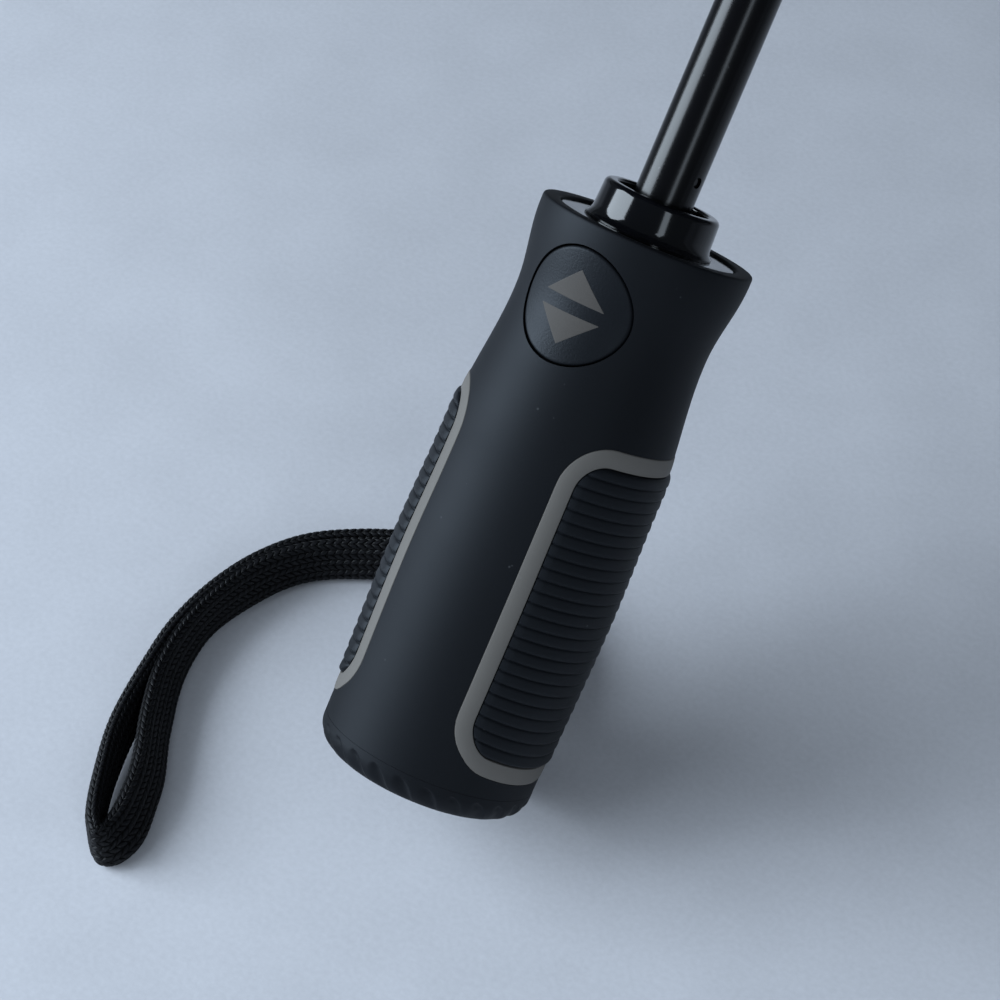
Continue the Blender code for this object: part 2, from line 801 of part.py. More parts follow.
def make_crown():
    plastic = make_material("crown_plastic", (0.01, 0.01, 0.011), 0.4)
    stud_hole = cap_stud_radius + gap
    crown = [
        (stud_hole, crown_top),
        (crown_flange_radius, crown_top),
        (crown_flange_radius, crown_slot_top),
        (crown_radius, crown_slot_top),
        (crown_radius, crown_groove),
        (hinge_radius - crown_groove, crown_groove),
        (hinge_radius - crown_groove, -crown_groove),
        (crown_radius, -crown_groove),
        (crown_radius, -crown_bottom),
        (tube_fit_radius, -crown_bottom),
        (tube_fit_radius, crown_below_tube_top + gap),
        (stud_hole, crown_below_tube_top + gap),
    ]
    item = as_part("crown", turned_mesh(crown, 32), plastic, crown_height)
    slotted(item, rib_set_count, -crown_bottom - overrun, crown_slot_top, slot_floor_radius,
            crown_flange_radius + overrun, "crown_slot")

    wire_circle = arc((hinge_radius, 0), wire_radius, 360, 60, 5)
    wire = turned_mesh(wire_circle, 32)
    as_part("crown_wire", wire, make_material("ring_wire", (0.4, 0.4, 0.41), 0.3, 1.0), crown_height)

    cloth_top = crown_top + cloth_above_crown + cloth_thickness + gap
    cap = []
    steps = 5
    for step in range(steps + 1):
        angle = math.radians(90 - 90 * step / steps)
        cap.append((top_cap_radius * math.cos(angle), cloth_top + top_cap_height * math.sin(angle)))
    cap += [
        (cap_stud_radius, cloth_top),
        (cap_stud_radius, crown_below_tube_top + 2 * gap),
        (0, crown_below_tube_top + 2 * gap),
    ]
    as_part("top_cap", turned_mesh(cap, 24, closed=False), plastic, crown_height)


def make_runner():
    plastic = make_material("runner_plastic", (0.01, 0.01, 0.011), 0.4)
    half = runner_fin_height / 2
    runner = [
        (tube_fit_radius, runner_above),
        (runner_radius, runner_above),
        (runner_radius, half),
        (runner_fin_radius, half),
        (runner_fin_radius, -half),
        (runner_radius, -half),
        (runner_radius, groove_half - groove_middle),
        (runner_radius - runner_groove, -groove_middle),
        (runner_radius, -groove_middle - groove_half),
        (runner_radius, -runner_below),
        (tube_fit_radius, -runner_below),
    ]
    item = as_part("runner", turned_mesh(runner, 32), plastic, runner_height)
    slotted(item, rib_set_count, -half - overrun, half + overrun, slot_floor_radius,
            runner_fin_radius + overrun, "runner_slot")

    bottom = runner_above + gap + closing_spring_wire
    top = crown_height - runner_height - crown_bottom - gap - closing_spring_wire
    mesh = coil_mesh(closing_spring_radius, closing_spring_wire, closing_spring_curls,
                     bottom, top, "closing_spring")
    steel = make_material("closing_spring_steel", (0.5, 0.5, 0.5), 0.3, 1.0)
    as_part("closing_spring", mesh, steel, runner_height)


# Rib members, each drawn from its own pivot: X along, Z to the cloth side
def top_rib_mesh():
    """A channel open below, with ears for the elbow and eyes for the crown wire."""
    elbow = (top_rib_length, elbow_offset)
    wire_hole = arc((0, 0), wire_radius + rivet_clearance + gap / 3, 0, 300, 5)
    side = [
        *arc((0, 0), channel_bottom, 270, 90, 4),
        (web_start, channel_top),
        (top_rib_length - web_setback, channel_top),
        *arc(elbow, elbow_ear, 150, -30, 3),
        (top_rib_length, -channel_bottom),
    ]
    middle = (channel_inner_width + channel_wall) / 2
    meshes = []
    for side_sign in (1, -1):
        wall = outline_mesh([side, wire_hole], channel_wall / 2)
        wall.transform(Matrix.Translation((0, side_sign * middle, 0)))
        meshes.append(wall)
    half = channel_inner_width / 2 + channel_wall
    meshes.append(box_mesh(
        (web_start, -middle, channel_top - channel_wall),
        (top_rib_length - web_setback, middle, channel_top),
    ))
    for x, z in ((stretcher_length, 0), elbow):
        reach = half - channel_wall / 2
        meshes.append(rod_mesh((x, -reach, z), (x, reach, z), rivet_radius, 6))
    return united_mesh(meshes)


def eye(centre):
    return arc(centre, rivet_radius + rivet_clearance, 0, 315, 7)


def stretcher_mesh():
    """A flat bar from the top rib's rivet in to the runner, with a cross pin at the runner."""
    outline = [
        *arc((0, 0), eye_radius, 135, 225, 2),
        (eye_radius, -stretcher_half_height),
        *arc((stretcher_length, 0), eye_radius, -90, 90, 4),
        (eye_radius, stretcher_half_height),
    ]
    bar = outline_mesh([outline, eye((0, 0))], bar_width / 2)
    half_pin = rib_slot_width / 2 - gap
    pin = rod_mesh((stretcher_length, -half_pin, 0), (stretcher_length, half_pin, 0), rivet_radius, 8)
    return united_mesh([bar, pin])


def middle_rib_mesh():
    """A flat bar that hangs below its elbow and carries the knee on its underside."""
    top = middle_half_height - middle_drop
    bottom = -middle_half_height - middle_drop
    knee = (middle_rib_length, -middle_drop - knee_drop)
    outline = [
        *arc((0, 0), eye_radius, 90, 225, 3),
        (eye_radius, bottom),
        (middle_rib_length - knee_slope, bottom),
        *arc(knee, eye_radius, 225, 360, 3),
        (middle_rib_length + eye_radius, top),
        (3 * eye_radius, top),
    ]
    return outline_mesh([outline, eye((0, 0)), eye(knee)], bar_width / 2)


def outer_rib_mesh():
    """A fork on the knee, a bowed round rod and a moulded tip."""
    inner = bar_width / 2 + gap
    outer = inner + channel_wall
    lap = channel_wall / 2
    top = knee_drop + outer_rib_radius
    cheeks = [box_mesh((-eye_radius, low, -eye_radius), (fork_length, high, top))
              for low, high in ((inner, outer), (-outer, -inner))]
    # Folded, the middle rib lies under this block, which starts past the slope to its knee
    block = box_mesh((knee_slope + gap, -inner - lap, middle_half_height + gap - knee_drop),
                     (fork_length - lap, inner + lap, top - lap))
    pin = rod_mesh((0, -inner - channel_wall / 2, 0), (0, inner + channel_wall / 2, 0), rivet_radius, 8)

    curve = bpy.data.curves.new("rod", "CURVE")
    curve.dimensions = "3D"
    curve.bevel_depth = outer_rib_radius
    curve.bevel_resolution = 1
    curve.use_fill_caps = True
    begin = fork_length - channel_wall
    end = outer_rib_length - tip_length / 2
    steps = 5
    spline = curve.splines.new("POLY")
    spline.points.add(steps)
    for step, point in enumerate(spline.points):
        x = begin + (end - begin) * step / steps
        share = x / outer_rib_length
        point.co = (x, 0, knee_drop + 4 * outer_rib_bow * share * (1 - share), 1)
    rod = evaluated_mesh(helper(curve))
    fall = -4 * outer_rib_bow / outer_rib_length
    tip_start = outer_rib_length - tip_length
    tip = []
    steps = 3
    for step in range(steps + 1):
        angle = math.radians(90 - 90 * step / steps)
        tip.append((tip_radius * math.cos(angle), tip_radius * math.sin(angle)))
    tip += [(tip_neck_radius, -tip_length), (0, -tip_length)]
    tip_mesh = turned_mesh(tip, 10, closed=False)
    tip_mesh.transform(Matrix.Rotation(math.pi / 2 - math.atan(fall), 4, "Y"))
    tip_mesh.transform(Matrix.Translation((outer_rib_length, 0, knee_drop)))
    return united_mesh([*cheeks, block, pin, rod, tip_mesh])


def make_ribs():
    plated = make_material("rib_metal", (0.02, 0.02, 0.022), 0.35, 0.8)
    members = [
        ("top_rib", top_rib_mesh(), crown_pivot, top_rib_slope),
        ("stretcher", stretcher_mesh(), stretcher_pivot, math.pi - top_rib_slope),
        ("middle_rib", middle_rib_mesh(), elbow_pivot, middle_rib_slope),
        ("outer_rib", outer_rib_mesh(), knee_pivot, outer_rib_slope),
    ]
    for index, azimuth in enumerate(rib_azimuths):
        for name, mesh, (radius, height), slope in members:
            item = as_part(name + "_" + str(index + 1), mesh, plated)
            item.location = (radius * math.cos(azimuth), radius * math.sin(azimuth), height)
            item.rotation_euler = (0, slope, azimuth)


# Canopy
def canopy_stations():
    """Points of the cloth's inner face over a rib, from the crown out to the hem."""
    over_top = channel_top + cloth_above_rib
    over_elbow = elbow_offset + elbow_ear + cloth_above_rib
    knee_rise = knee_drop + outer_rib_radius + cloth_above_rib
    stations = [
        (cloth_hole_radius, crown_height + crown_top + cloth_above_crown),
        (crown_flange_radius + gap, crown_height + crown_top + cloth_above_crown),
        along(crown_pivot, top_rib_slope, top_rib_length / 2, (over_top + over_elbow) / 2),
        along(crown_pivot, top_rib_slope, top_rib_length, over_elbow),
        along(elbow_pivot, middle_rib_slope, middle_rib_length / 2, cloth_above_rib),
        along(knee_pivot, outer_rib_slope, 0, knee_rise),
    ]
    reach = outer_rib_length - hem_inset
    for share in outer_rib_shares:
        forward = reach * share
        bow = forward / outer_rib_length
        up = knee_drop + 4 * outer_rib_bow * bow * (1 - bow) + outer_rib_radius + cloth_above_rib
        stations.append(along(knee_pivot, outer_rib_slope, forward, up))
    return stations


def make_canopy():
    cloth = make_material("canopy_cloth", (0.01, 0.01, 0.012), 0.8)
    stations = canopy_stations()
    columns = rib_set_count * gore_columns
    bm = bmesh.new()
    rings = []
    for index, (radius, height) in enumerate(stations):
        before = stations[max(index - 1, 0)]
        run = math.hypot(radius - before[0], height - before[1]) or 1
        inward = ((before[0] - radius) / run, (before[1] - height) / run)
        ring = []
        for column in range(columns):
            share = (column % gore_columns) / gore_columns
            across = 4 * share * (1 - share)
            turn = rib_azimuths[0] + rib_turn * column / gore_columns
            chord = math.cos(rib_turn / 2) / math.cos(rib_turn * (share - 0.5))
            pull = hem_scallop * hem_pull_shares[index] * across
            sag = gore_sag * sag_shares[index] * across
            at_radius = (radius + inward[0] * pull) * chord
            at_height = height + inward[1] * pull - sag
            ring.append(bm.verts.new((at_radius * math.cos(turn), at_radius * math.sin(turn), at_height)))
        rings.append(ring)
    for inner, outer in zip(rings, rings[1:]):
        for column in range(columns):
            other = (column + 1) % columns
            bm.faces.new((inner[column], outer[column], outer[other], inner[other]))
    item = as_part("canopy", mesh_from(bm, "canopy"), cloth)
    wall = item.modifiers.new("cloth", "SOLIDIFY")
    wall.thickness = cloth_thickness
    wall.offset = 1
    wall.use_even_offset = True


# Wrist strap: a flat loop that comes out of the slot, runs behind the handle and lies on its edge
strap_route = [
    (0.0024, -0.1981, 0.0128), (0.0024, -0.1957, 0.0110), (0.0023, -0.1933, 0.0091),
    (0.0020, -0.1903, 0.0070), (0.0015, -0.1868, 0.0055), (0.0004, -0.1818, 0.0048),
    (-0.0035, -0.1745, 0.0046), (-0.0120, -0.1675, 0.0046),
    (-0.0230, -0.1652, 0.0046), (-0.0350, -0.1672, 0.0046), (-0.0455, -0.1725, 0.0046),
    (-0.0545, -0.1810, 0.0046), (-0.0592, -0.1910, 0.0046), (-0.0612, -0.2020, 0.0046),
    (-0.0610, -0.2130, 0.0046), (-0.0585, -0.2235, 0.0046), (-0.0540, -0.2375, 0.0046),
    (-0.0480, -0.2500, 0.0046), (-0.0428, -0.2578, 0.0046), (-0.0394, -0.2603, 0.0046),
    (-0.0368, -0.2580, 0.0046), (-0.0370, -0.2525, 0.0046), (-0.0415, -0.2425, 0.0046),
    (-0.0480, -0.2325, 0.0046), (-0.0545, -0.2220, 0.0046), (-0.0577, -0.2120, 0.0046),
    (-0.0580, -0.2025, 0.0046), (-0.0562, -0.1925, 0.0046), (-0.0518, -0.1832, 0.0046),
    (-0.0438, -0.1756, 0.0046), (-0.0342, -0.1705, 0.0046), (-0.0232, -0.1685, 0.0046),
    (-0.0140, -0.1706, 0.0046), (-0.0068, -0.1762, 0.0046), (-0.0034, -0.1820, 0.0048),
    (-0.0024, -0.1868, 0.0055), (-0.0023, -0.1903, 0.0070), (-0.0023, -0.1933, 0.0091),
    (-0.0024, -0.1957, 0.0110), (-0.0024, -0.1981, 0.0128),
]


def smooth_route(points, spacing):
    """Points at even steps along a Catmull-Rom curve through the route."""
    dense = []
    fine = 12
    for index in range(len(points) - 1):
        near = [Vector(points[min(max(index + offset, 0), len(points) - 1)]) for offset in (-1, 0, 1, 2)]
        before, start, end, after = near
        for step in range(fine):
            t = step / fine
            dense.append(0.5 * (
                2 * start + (end - before) * t
                + (2 * before - 5 * start + 4 * end - after) * t ** 2
                + (3 * start - before - 3 * end + after) * t ** 3
            ))
    dense.append(Vector(points[-1]))
    lengths = [0]
    for first, second in zip(dense, dense[1:]):
        lengths.append(lengths[-1] + (second - first).length)
    count = max(2, round(lengths[-1] / spacing))
    result = []
    cursor = 0
    for step in range(count + 1):
        goal = lengths[-1] * step / count
        while cursor < len(lengths) - 2 and lengths[cursor + 1] < goal:
            cursor += 1
        run = lengths[cursor + 1] - lengths[cursor]
        result.append(dense[cursor].lerp(dense[cursor + 1], (goal - lengths[cursor]) / run))
    print("strap length, mm:", round(1000 * lengths[-1], 1))
    return result


def make_strap():
    braid = make_material("braided_black", (0.008, 0.008, 0.009), 0.85)
    section = bpy.data.curves.new("strap_section", "CURVE")
    section.dimensions = "2D"
    half_width = strap_width / 2
    half_thickness = strap_thickness / 2
    bevel = strap_thickness / 4
    outline = [
        (half_thickness - bevel, half_width), (half_thickness, half_width - bevel),
        (half_thickness, bevel - half_width), (half_thickness - bevel, -half_width),
        (bevel - half_thickness, -half_width), (-half_thickness, bevel - half_width),
        (-half_thickness, half_width - bevel), (bevel - half_thickness, half_width),
    ]
    spline = section.splines.new("POLY")
    spline.points.add(len(outline) - 1)
    spline.use_cyclic_u = True
    for point, (x, y) in zip(spline.points, outline):
        point.co = (x, y, 0, 1)
    guide = helper(section, "strap_section")
    curve = bpy.data.curves.new("wrist_strap", "CURVE")
    curve.dimensions = "3D"
    curve.bevel_mode = "OBJECT"
    curve.bevel_object = guide
    curve.use_fill_caps = True
    curve.twist_mode = "Z_UP"
    points = smooth_route(strap_route, strap_width * strap_step_share)
    spline = curve.splines.new("POLY")
    spline.points.add(len(points) - 1)
    for point, place_at in zip(spline.points, points):
        point.co = (*place_at, 1)
    mesh = evaluated_mesh(helper(curve))
    bpy.data.objects.remove(guide, do_unlink=True)
    item = bpy.data.objects.new("wrist_strap", mesh)
    mesh.materials.append(braid)
    parts.objects.link(item)


make_handle()
make_button()
make_shaft()
make_crown()
make_runner()
make_ribs()
make_canopy()
make_strap()
print("lean of the shaft, degrees:", round(math.degrees(lean_angle), 3))
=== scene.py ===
from functools import partial
import json
import math

import bmesh
import bpy
from mathutils import Matrix, Vector


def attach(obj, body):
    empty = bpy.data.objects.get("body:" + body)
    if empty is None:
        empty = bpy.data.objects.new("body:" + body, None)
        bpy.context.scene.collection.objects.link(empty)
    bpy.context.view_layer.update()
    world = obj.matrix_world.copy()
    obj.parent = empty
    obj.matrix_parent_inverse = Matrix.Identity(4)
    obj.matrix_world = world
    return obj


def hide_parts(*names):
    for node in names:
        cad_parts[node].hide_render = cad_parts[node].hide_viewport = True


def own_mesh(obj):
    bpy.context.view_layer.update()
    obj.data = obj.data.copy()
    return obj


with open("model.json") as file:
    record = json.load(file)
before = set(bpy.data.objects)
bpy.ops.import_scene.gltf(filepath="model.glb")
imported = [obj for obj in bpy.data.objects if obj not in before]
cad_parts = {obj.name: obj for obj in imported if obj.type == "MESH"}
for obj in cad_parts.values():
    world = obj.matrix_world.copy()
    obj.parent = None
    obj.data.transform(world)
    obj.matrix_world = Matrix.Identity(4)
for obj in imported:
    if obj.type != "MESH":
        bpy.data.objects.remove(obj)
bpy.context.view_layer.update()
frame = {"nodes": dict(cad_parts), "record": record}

mm = 0.001
tau = 2 * math.pi
scene = bpy.context.scene
print("frame loaded")

# The umbrella's own frame: +Z up the shaft from the foot, -Y on the button side
shaft = {"lean": 0.9034521, "footLift": 0.010513, "footBack": 0.2166913}
toWorld = Matrix.Translation((0, -shaft["footBack"], shaft["footLift"])) @ Matrix.Rotation(
    shaft["lean"] - math.pi / 2, 4, "X")


# ---- camera first, then the strap
view = {"lens": 108, "sensor": 36, "near": 0.01, "place": (0.2164, -0.4768, 0.4201), "tilt": 44.75,
        "turn": 37.45, "roll": 0.26, "shift": 0.0022}
camera = bpy.data.objects.new("photoCamera", bpy.data.cameras.new("photoCamera"))
camera.data.lens = view["lens"]
camera.data.sensor_width = view["sensor"]
camera.data.clip_start = view["near"]
camera.data.shift_x = view["shift"]
camera.location = view["place"]
camera.rotation_euler = (Matrix.Rotation(math.radians(view["turn"]), 3, "Z")
                         @ Matrix.Rotation(math.radians(view["tilt"]), 3, "X")
                         @ Matrix.Rotation(math.radians(view["roll"]), 3, "Z")).to_euler()
scene.collection.objects.link(camera)
scene.camera = camera
scene.view_settings.view_transform = "Standard"


# ---- material helpers
def feed(tree, node, links):
    # Sockets are linked, plain values are set
    for socket, source in links.items():
        target = node.inputs[socket]
        if hasattr(source, "links"):
            tree.links.new(source, target)
        else:
            target.default_value = source


def addNode(tree, kind, links=None, **values):
    node = tree.nodes.new(kind)
    for key, value in values.items():
        setattr(node, key, value)
    feed(tree, node, links or {})
    return node


def newMaterial(name, color, roughness, metallic=0.0, **extra):
    material = bpy.data.materials.new(name)
    material.use_nodes = True
    tree = material.node_tree
    shader = tree.nodes["Principled BSDF"]
    feed(tree, shader, {"Base Color": (*color, 1), "Roughness": roughness, "Metallic": metallic})
    feed(tree, shader, {socket.replace("_", " "): value for socket, value in extra.items()})
    return material, tree, shader


def groupFrame(name, inputs, outputs):
    # A shader group of floats, where an input without a value is a vector
    tree = bpy.data.node_groups.new(name, "ShaderNodeTree")
    for label, value in inputs.items():
        kind = "NodeSocketVector" if value is None else "NodeSocketFloat"
        socket = tree.interface.new_socket(label, in_out="INPUT", socket_type=kind)
        if value is not None:
            socket.default_value = value
    for label in outputs:
        tree.interface.new_socket(label, in_out="OUTPUT", socket_type="NodeSocketFloat")
    return tree, tree.nodes.new("NodeGroupInput").outputs, tree.nodes.new("NodeGroupOutput")


def objectSpace(tree):
    return addNode(tree, "ShaderNodeTexCoord").outputs["Object"]


def uvSpace(tree, name):
    return addNode(tree, "ShaderNodeUVMap", uv_map=name).outputs["UV"]


def noise(tree, place, scale, detail):
    links = {"Vector": place, "Scale": scale, "Detail": detail}
    return addNode(tree, "ShaderNodeTexNoise", links).outputs["Fac"]


def ranged(tree, value, low, high, toLow=0.0, toHigh=1.0, **values):
    links = {"Value": value, "From Min": low, "From Max": high, "To Min": toLow, "To Max": toHigh}
    return addNode(tree, "ShaderNodeMapRange", links, **values).outputs["Result"]


def combine(tree, operation, first, second=None):
    links = {0: first} if second is None else {0: first, 1: second}
    return addNode(tree, "ShaderNodeMath", links, operation=operation).outputs[0]


def mixed(tree, share, first, second):
    links = {"Factor": share, "A": first, "B": second}
    return addNode(tree, "ShaderNodeMix", links, data_type="RGBA").outputs["Result"]


def bumped(tree, height, strength, distance, **links):
    links.update({"Height": height, "Strength": strength, "Distance": distance})
    return addNode(tree, "ShaderNodeBump", links).outputs["Normal"]


def makeGrainGroup():
    # Moulded grain: a fine height, a slow cloud for roughness, and sparse specks of lint
    tree, start, end = groupFrame("mouldedGrain", {"Grain": 4000, "Cloud": 60}, ["Height", "Cloud", "Speck"])
    place = objectSpace(tree)
    speck = addNode(tree, "ShaderNodeTexVoronoi", {"Vector": place, "Scale": 420.0})
    bright = ranged(tree, speck.outputs["Distance"], 0.10, 0.05)
    chosen = ranged(tree, noise(tree, place, 95.0, 1.0), 0.62, 0.66)
    feed(tree, end, {"Height": noise(tree, place, start["Grain"], 2.0),
                     "Cloud": noise(tree, place, start["Cloud"], 4.0),
                     "Speck": combine(tree, "MULTIPLY", bright, chosen)})
    return tree


grainGroup = makeGrainGroup()
lintColor = (0.25, 0.26, 0.27, 1)


def finish(name, color, roughness, grain, bump, span, metallic=0.0, lift=1.5, lint=0.0, cloud=60,
           bumpScale=0.00002, **extra):
    # Grain on the normal, clouded roughness and colour, and a little lint
    material, tree, shader = newMaterial(name, color, roughness, metallic, **extra)
    group = addNode(tree, "ShaderNodeGroup", {"Grain": grain, "Cloud": cloud}, node_tree=grainGroup).outputs
    lighter = tuple(min(1, part * lift) for part in color)
    tone = mixed(tree, group["Cloud"], (*color, 1), (*lighter, 1))
    feed(tree, shader, {
        "Base Color": mixed(tree, combine(tree, "MULTIPLY", group["Speck"], lint), tone, lintColor),
        "Roughness": ranged(tree, group["Cloud"], 0, 1, *span),
        "Normal": bumped(tree, group["Height"], bump, bumpScale)})
    return material


satin = {"Specular_IOR_Level": 0.31, "Specular_Tint": (0.92, 1.0, 1.1, 1)}
matt = {"Specular_IOR_Level": 0.16}
surfaces = {
    "handle": finish("softTouchCharcoal", (0.0034, 0.0038, 0.0050), 0.62, 2900, 0.35, (0.57, 0.66),
                     lift=1.3, lint=0.12, bumpScale=0.000025, **satin),
    "button": finish("sparkErodedCharcoal", (0.0042, 0.0049, 0.0064), 0.52, 2600, 0.7, (0.47, 0.58),
                     lift=1.3, lint=0.1, bumpScale=0.00006, **satin),
    "rubber": finish("gripRubber", (0.0040, 0.0047, 0.0062), 0.6, 3600, 0.4, (0.52, 0.64),
                     lift=1.4, lint=0.2, **satin),
    "trim": finish("warmGreyTrim", (0.128, 0.120, 0.111), 0.6, 4200, 0.25, (0.55, 0.65),
                   lift=1.06, lint=0.1, **matt),
    "gloss": finish("pianoBlack", (0.0016, 0.0018, 0.0026), 0.1, 900, 0.02, (0.07, 0.13),
                    lift=1.3, lint=0.15, cloud=35),
    "tube": finish("lacqueredTube", (0.0018, 0.0018, 0.0024), 0.2, 1200, 0.03, (0.17, 0.24),
                   lift=1.3, lint=0.1, cloud=40, Specular_IOR_Level=0.4),
    "rib": finish("lacqueredRib", (0.014, 0.014, 0.016), 0.3, 2500, 0.2, (0.25, 0.42), metallic=0.7),
    "joint": finish("mouldedJoint", (0.006, 0.006, 0.007), 0.4, 3800, 0.3, (0.33, 0.5), lift=1.4),
    "steel": finish("springSteel", (0.52, 0.52, 0.53), 0.28, 3000, 0.25, (0.2, 0.36), metallic=1.0, lift=1.1),
    "mark": finish("taupeMark", (0.060, 0.055, 0.051), 0.6, 4200, 0.5, (0.55, 0.65),
                   lift=1.08, bumpScale=0.00003, **matt),
}
slotOf = {"handle": "handle_plastic", "button": "button_plastic", "rubber": "grip_rubber",
          "trim": "trim_plastic", "gloss": "gloss_plastic", "tube": "tube_metal", "rib": "rib_metal",
          "joint": "joint_plastic", "steel": "steel", "mark": "button_plastic", "strap": "strap_braid",
          "cloth": "canopy_cloth"}
print("materials ready")


# ---- mesh helpers
def meshOf(bm, name, angle=30, merge=0.000001, local=True, outward=True):
    if outward:
        bmesh.ops.recalc_face_normals(bm, faces=bm.faces)
    bmesh.ops.remove_doubles(bm, verts=bm.verts, dist=merge)
    mesh = bpy.data.meshes.new(name)
    bm.to_mesh(mesh)
    bm.free()
    if local:
        mesh.transform(toWorld)
    return smoothed(mesh, angle)


def smoothed(mesh, angle):
    mesh.shade_smooth()
    mesh.set_sharp_from_angle(angle=math.radians(angle))
    return mesh


def addPiece(name, mesh, surface, body, *nodes, slotName=None):
    item = bpy.data.objects.new(name, mesh)
    scene.collection.objects.link(item)
    mesh.materials.clear()
    mesh.materials.append(surfaces[surface])
    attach(item, body)
    if nodes:
        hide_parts(*nodes)
    return item


def plainMesh(item, name):
    # The evaluated object as one mesh; the object goes
    bpy.context.view_layer.update()
    graph = bpy.context.evaluated_depsgraph_get()
    mesh = bpy.data.meshes.new_from_object(item.evaluated_get(graph), depsgraph=graph)
    mesh.name = name
    bpy.data.objects.remove(item, do_unlink=True)
    return mesh


def cutMesh(mesh, cutters, angle=30):
    base = bpy.data.objects.new("cutting", mesh)
    scene.collection.objects.link(base)
    helpers = []
    for index, cutter in enumerate(cutters):
        helper = bpy.data.objects.new("cutter" + str(index), cutter)
        scene.collection.objects.link(helper)
        modifier = base.modifiers.new("cut" + str(index), "BOOLEAN")
        modifier.object = helper
        modifier.solver = "EXACT"
        helpers.append(helper)
    result = plainMesh(base, mesh.name)
    for helper in helpers:
        bpy.data.objects.remove(helper, do_unlink=True)
    return smoothed(result, angle)


def between(first, second, share):
    return [a + (b - a) * share for a, b in zip(first, second)]


def smooth(share):
    share = min(1, max(0, share))
    return share * share * (3 - 2 * share)


def polar(radius, turn, height):
    return Vector((radius * math.cos(turn), radius * math.sin(turn), height))


def arc(x, y, across, up, turns):
    # Points on an ellipse about (x, y), at shares of a full turn
    return [(x + across * math.cos(tau * turn), y + up * math.sin(tau * turn)) for turn in turns]


def rounded(points, steps=5):
    # Closed outline of (x, y, rounding) corners with arcs in place of the corners
    result = []
    for index, (x, y, radius) in enumerate(points):
        if not radius:
            result.append((x, y))
            continue
        here = Vector((x, y))
        before = Vector(points[index - 1][:2]) - here
        after = Vector(points[(index + 1) % len(points)][:2]) - here
        half = before.angle(after) / 2
        reach = min(radius / math.tan(half), before.length * 0.49, after.length * 0.49)
        radius = reach * math.tan(half)
        before.normalize()
        after.normalize()
        centre = here + (before + after).normalized() * radius / math.sin(half)
        first, last = here + before * reach - centre, here + after * reach - centre
        sweep = first.angle_signed(last)
        for step in range(steps + 1):
            spot = centre + Matrix.Rotation(-sweep * step / steps, 2) @ first
            result.append((spot.x, spot.y))
    return result


def vertRow(bm, points):
    return [bm.verts.new(point) for point in points]


def gridFaces(bm, rows, flip=False, loop=False):
    for first, second in zip(rows, rows[1:]):
        count = len(first)
        for i in range(count if loop else count - 1):
            j = (i + 1) % count
            face = (first[i], first[j], second[j], second[i])
            bm.faces.new(face[::-1] if flip else face)


def tubeFaces(bm, rings):
    # Rings joined into a tube with both ends closed
    gridFaces(bm, rings, loop=True)
    bm.faces.new(rings[0][::-1])
    bm.faces.new(rings[-1])


def blockFaces(bm, outer, inner):
    # A closed slab between two grids
    gridFaces(bm, outer)
    gridFaces(bm, inner, flip=True)
    for k in (0, -1):
        gridFaces(bm, [outer[k], inner[k]], flip=(k == 0))
        gridFaces(bm, [[row[k] for row in outer], [row[k] for row in inner]], flip=(k != 0))


def lathe(profile, segments, closed=True):
    bm = bmesh.new()
    rings = []
    for radius, height in profile:
        onAxis = radius < 1e-7
        rings.append(vertRow(bm, [polar(0 if onAxis else radius, tau * i / segments, height)
                                  for i in range(1 if onAxis else segments)]))
    pairs = list(zip(rings, rings[1:]))
    if closed:
        pairs.append((rings[-1], rings[0]))
    for upper, lower in pairs:
        if len(upper) == len(lower) == 1:
            continue
        for i in range(segments):
            j = (i + 1) % segments
            if len(upper) == 1:
                bm.faces.new((upper[0], lower[i], lower[j]))
            elif len(lower) == 1:
                bm.faces.new((upper[i], lower[0], upper[j]))
            else:
                bm.faces.new((upper[i], lower[i], lower[j], upper[j]))
    return bm


def turnedMesh(name, outline, segments, lift=0.0, steps=5, angle=30, closed=True):
    # An outline of (radius, height) or (radius, height, rounding) in millimetres, turned about the shaft
    corners = [(x * mm, (y + lift) * mm, sum(rounding) * mm) for x, y, *rounding in outline]
    return meshOf(lathe(rounded(corners, steps), segments, closed), name, angle)


def rodMesh(start, end, radius, sides=48):
    bm = bmesh.new()
    direction = Vector(end) - Vector(start)
    turn = direction.to_track_quat("Z", "Y").to_matrix().to_4x4()
    bmesh.ops.create_cone(bm, cap_ends=True, segments=sides, radius1=radius, radius2=radius,
                          depth=direction.length,
                          matrix=Matrix.Translation((Vector(start) + Vector(end)) / 2) @ turn)
    return meshOf(bm, "rod")


def boxMesh(low, high, turn=0.0):
    # A box between two corners in millimetres, turned about the shaft
    bm = bmesh.new()
    bmesh.ops.create_cube(bm, size=1)
    for vert in bm.verts:
        vert.co = [(a + (b - a) * (c + 0.5)) * mm for a, b, c in zip(low, high, vert.co)]
    bmesh.ops.rotate(bm, verts=bm.verts, matrix=Matrix.Rotation(turn, 3, "Z"))
    return meshOf(bm, "box")


def splined(points, steps):
    # Steps of a Catmull-Rom curve through points
    result = []
    for index in range(len(points) - 1):
        a, b, c, d = [points[min(max(index + k, 0), len(points) - 1)] for k in (-1, 0, 1, 2)]
        for step in range(steps):
            t = step / steps
            result.append(0.5 * (2 * b + (c - a) * t + (2 * a - 5 * b + 4 * c - d) * t ** 2
                                 + (3 * b - a - 3 * c + d) * t ** 3))
    return result + [points[-1]]


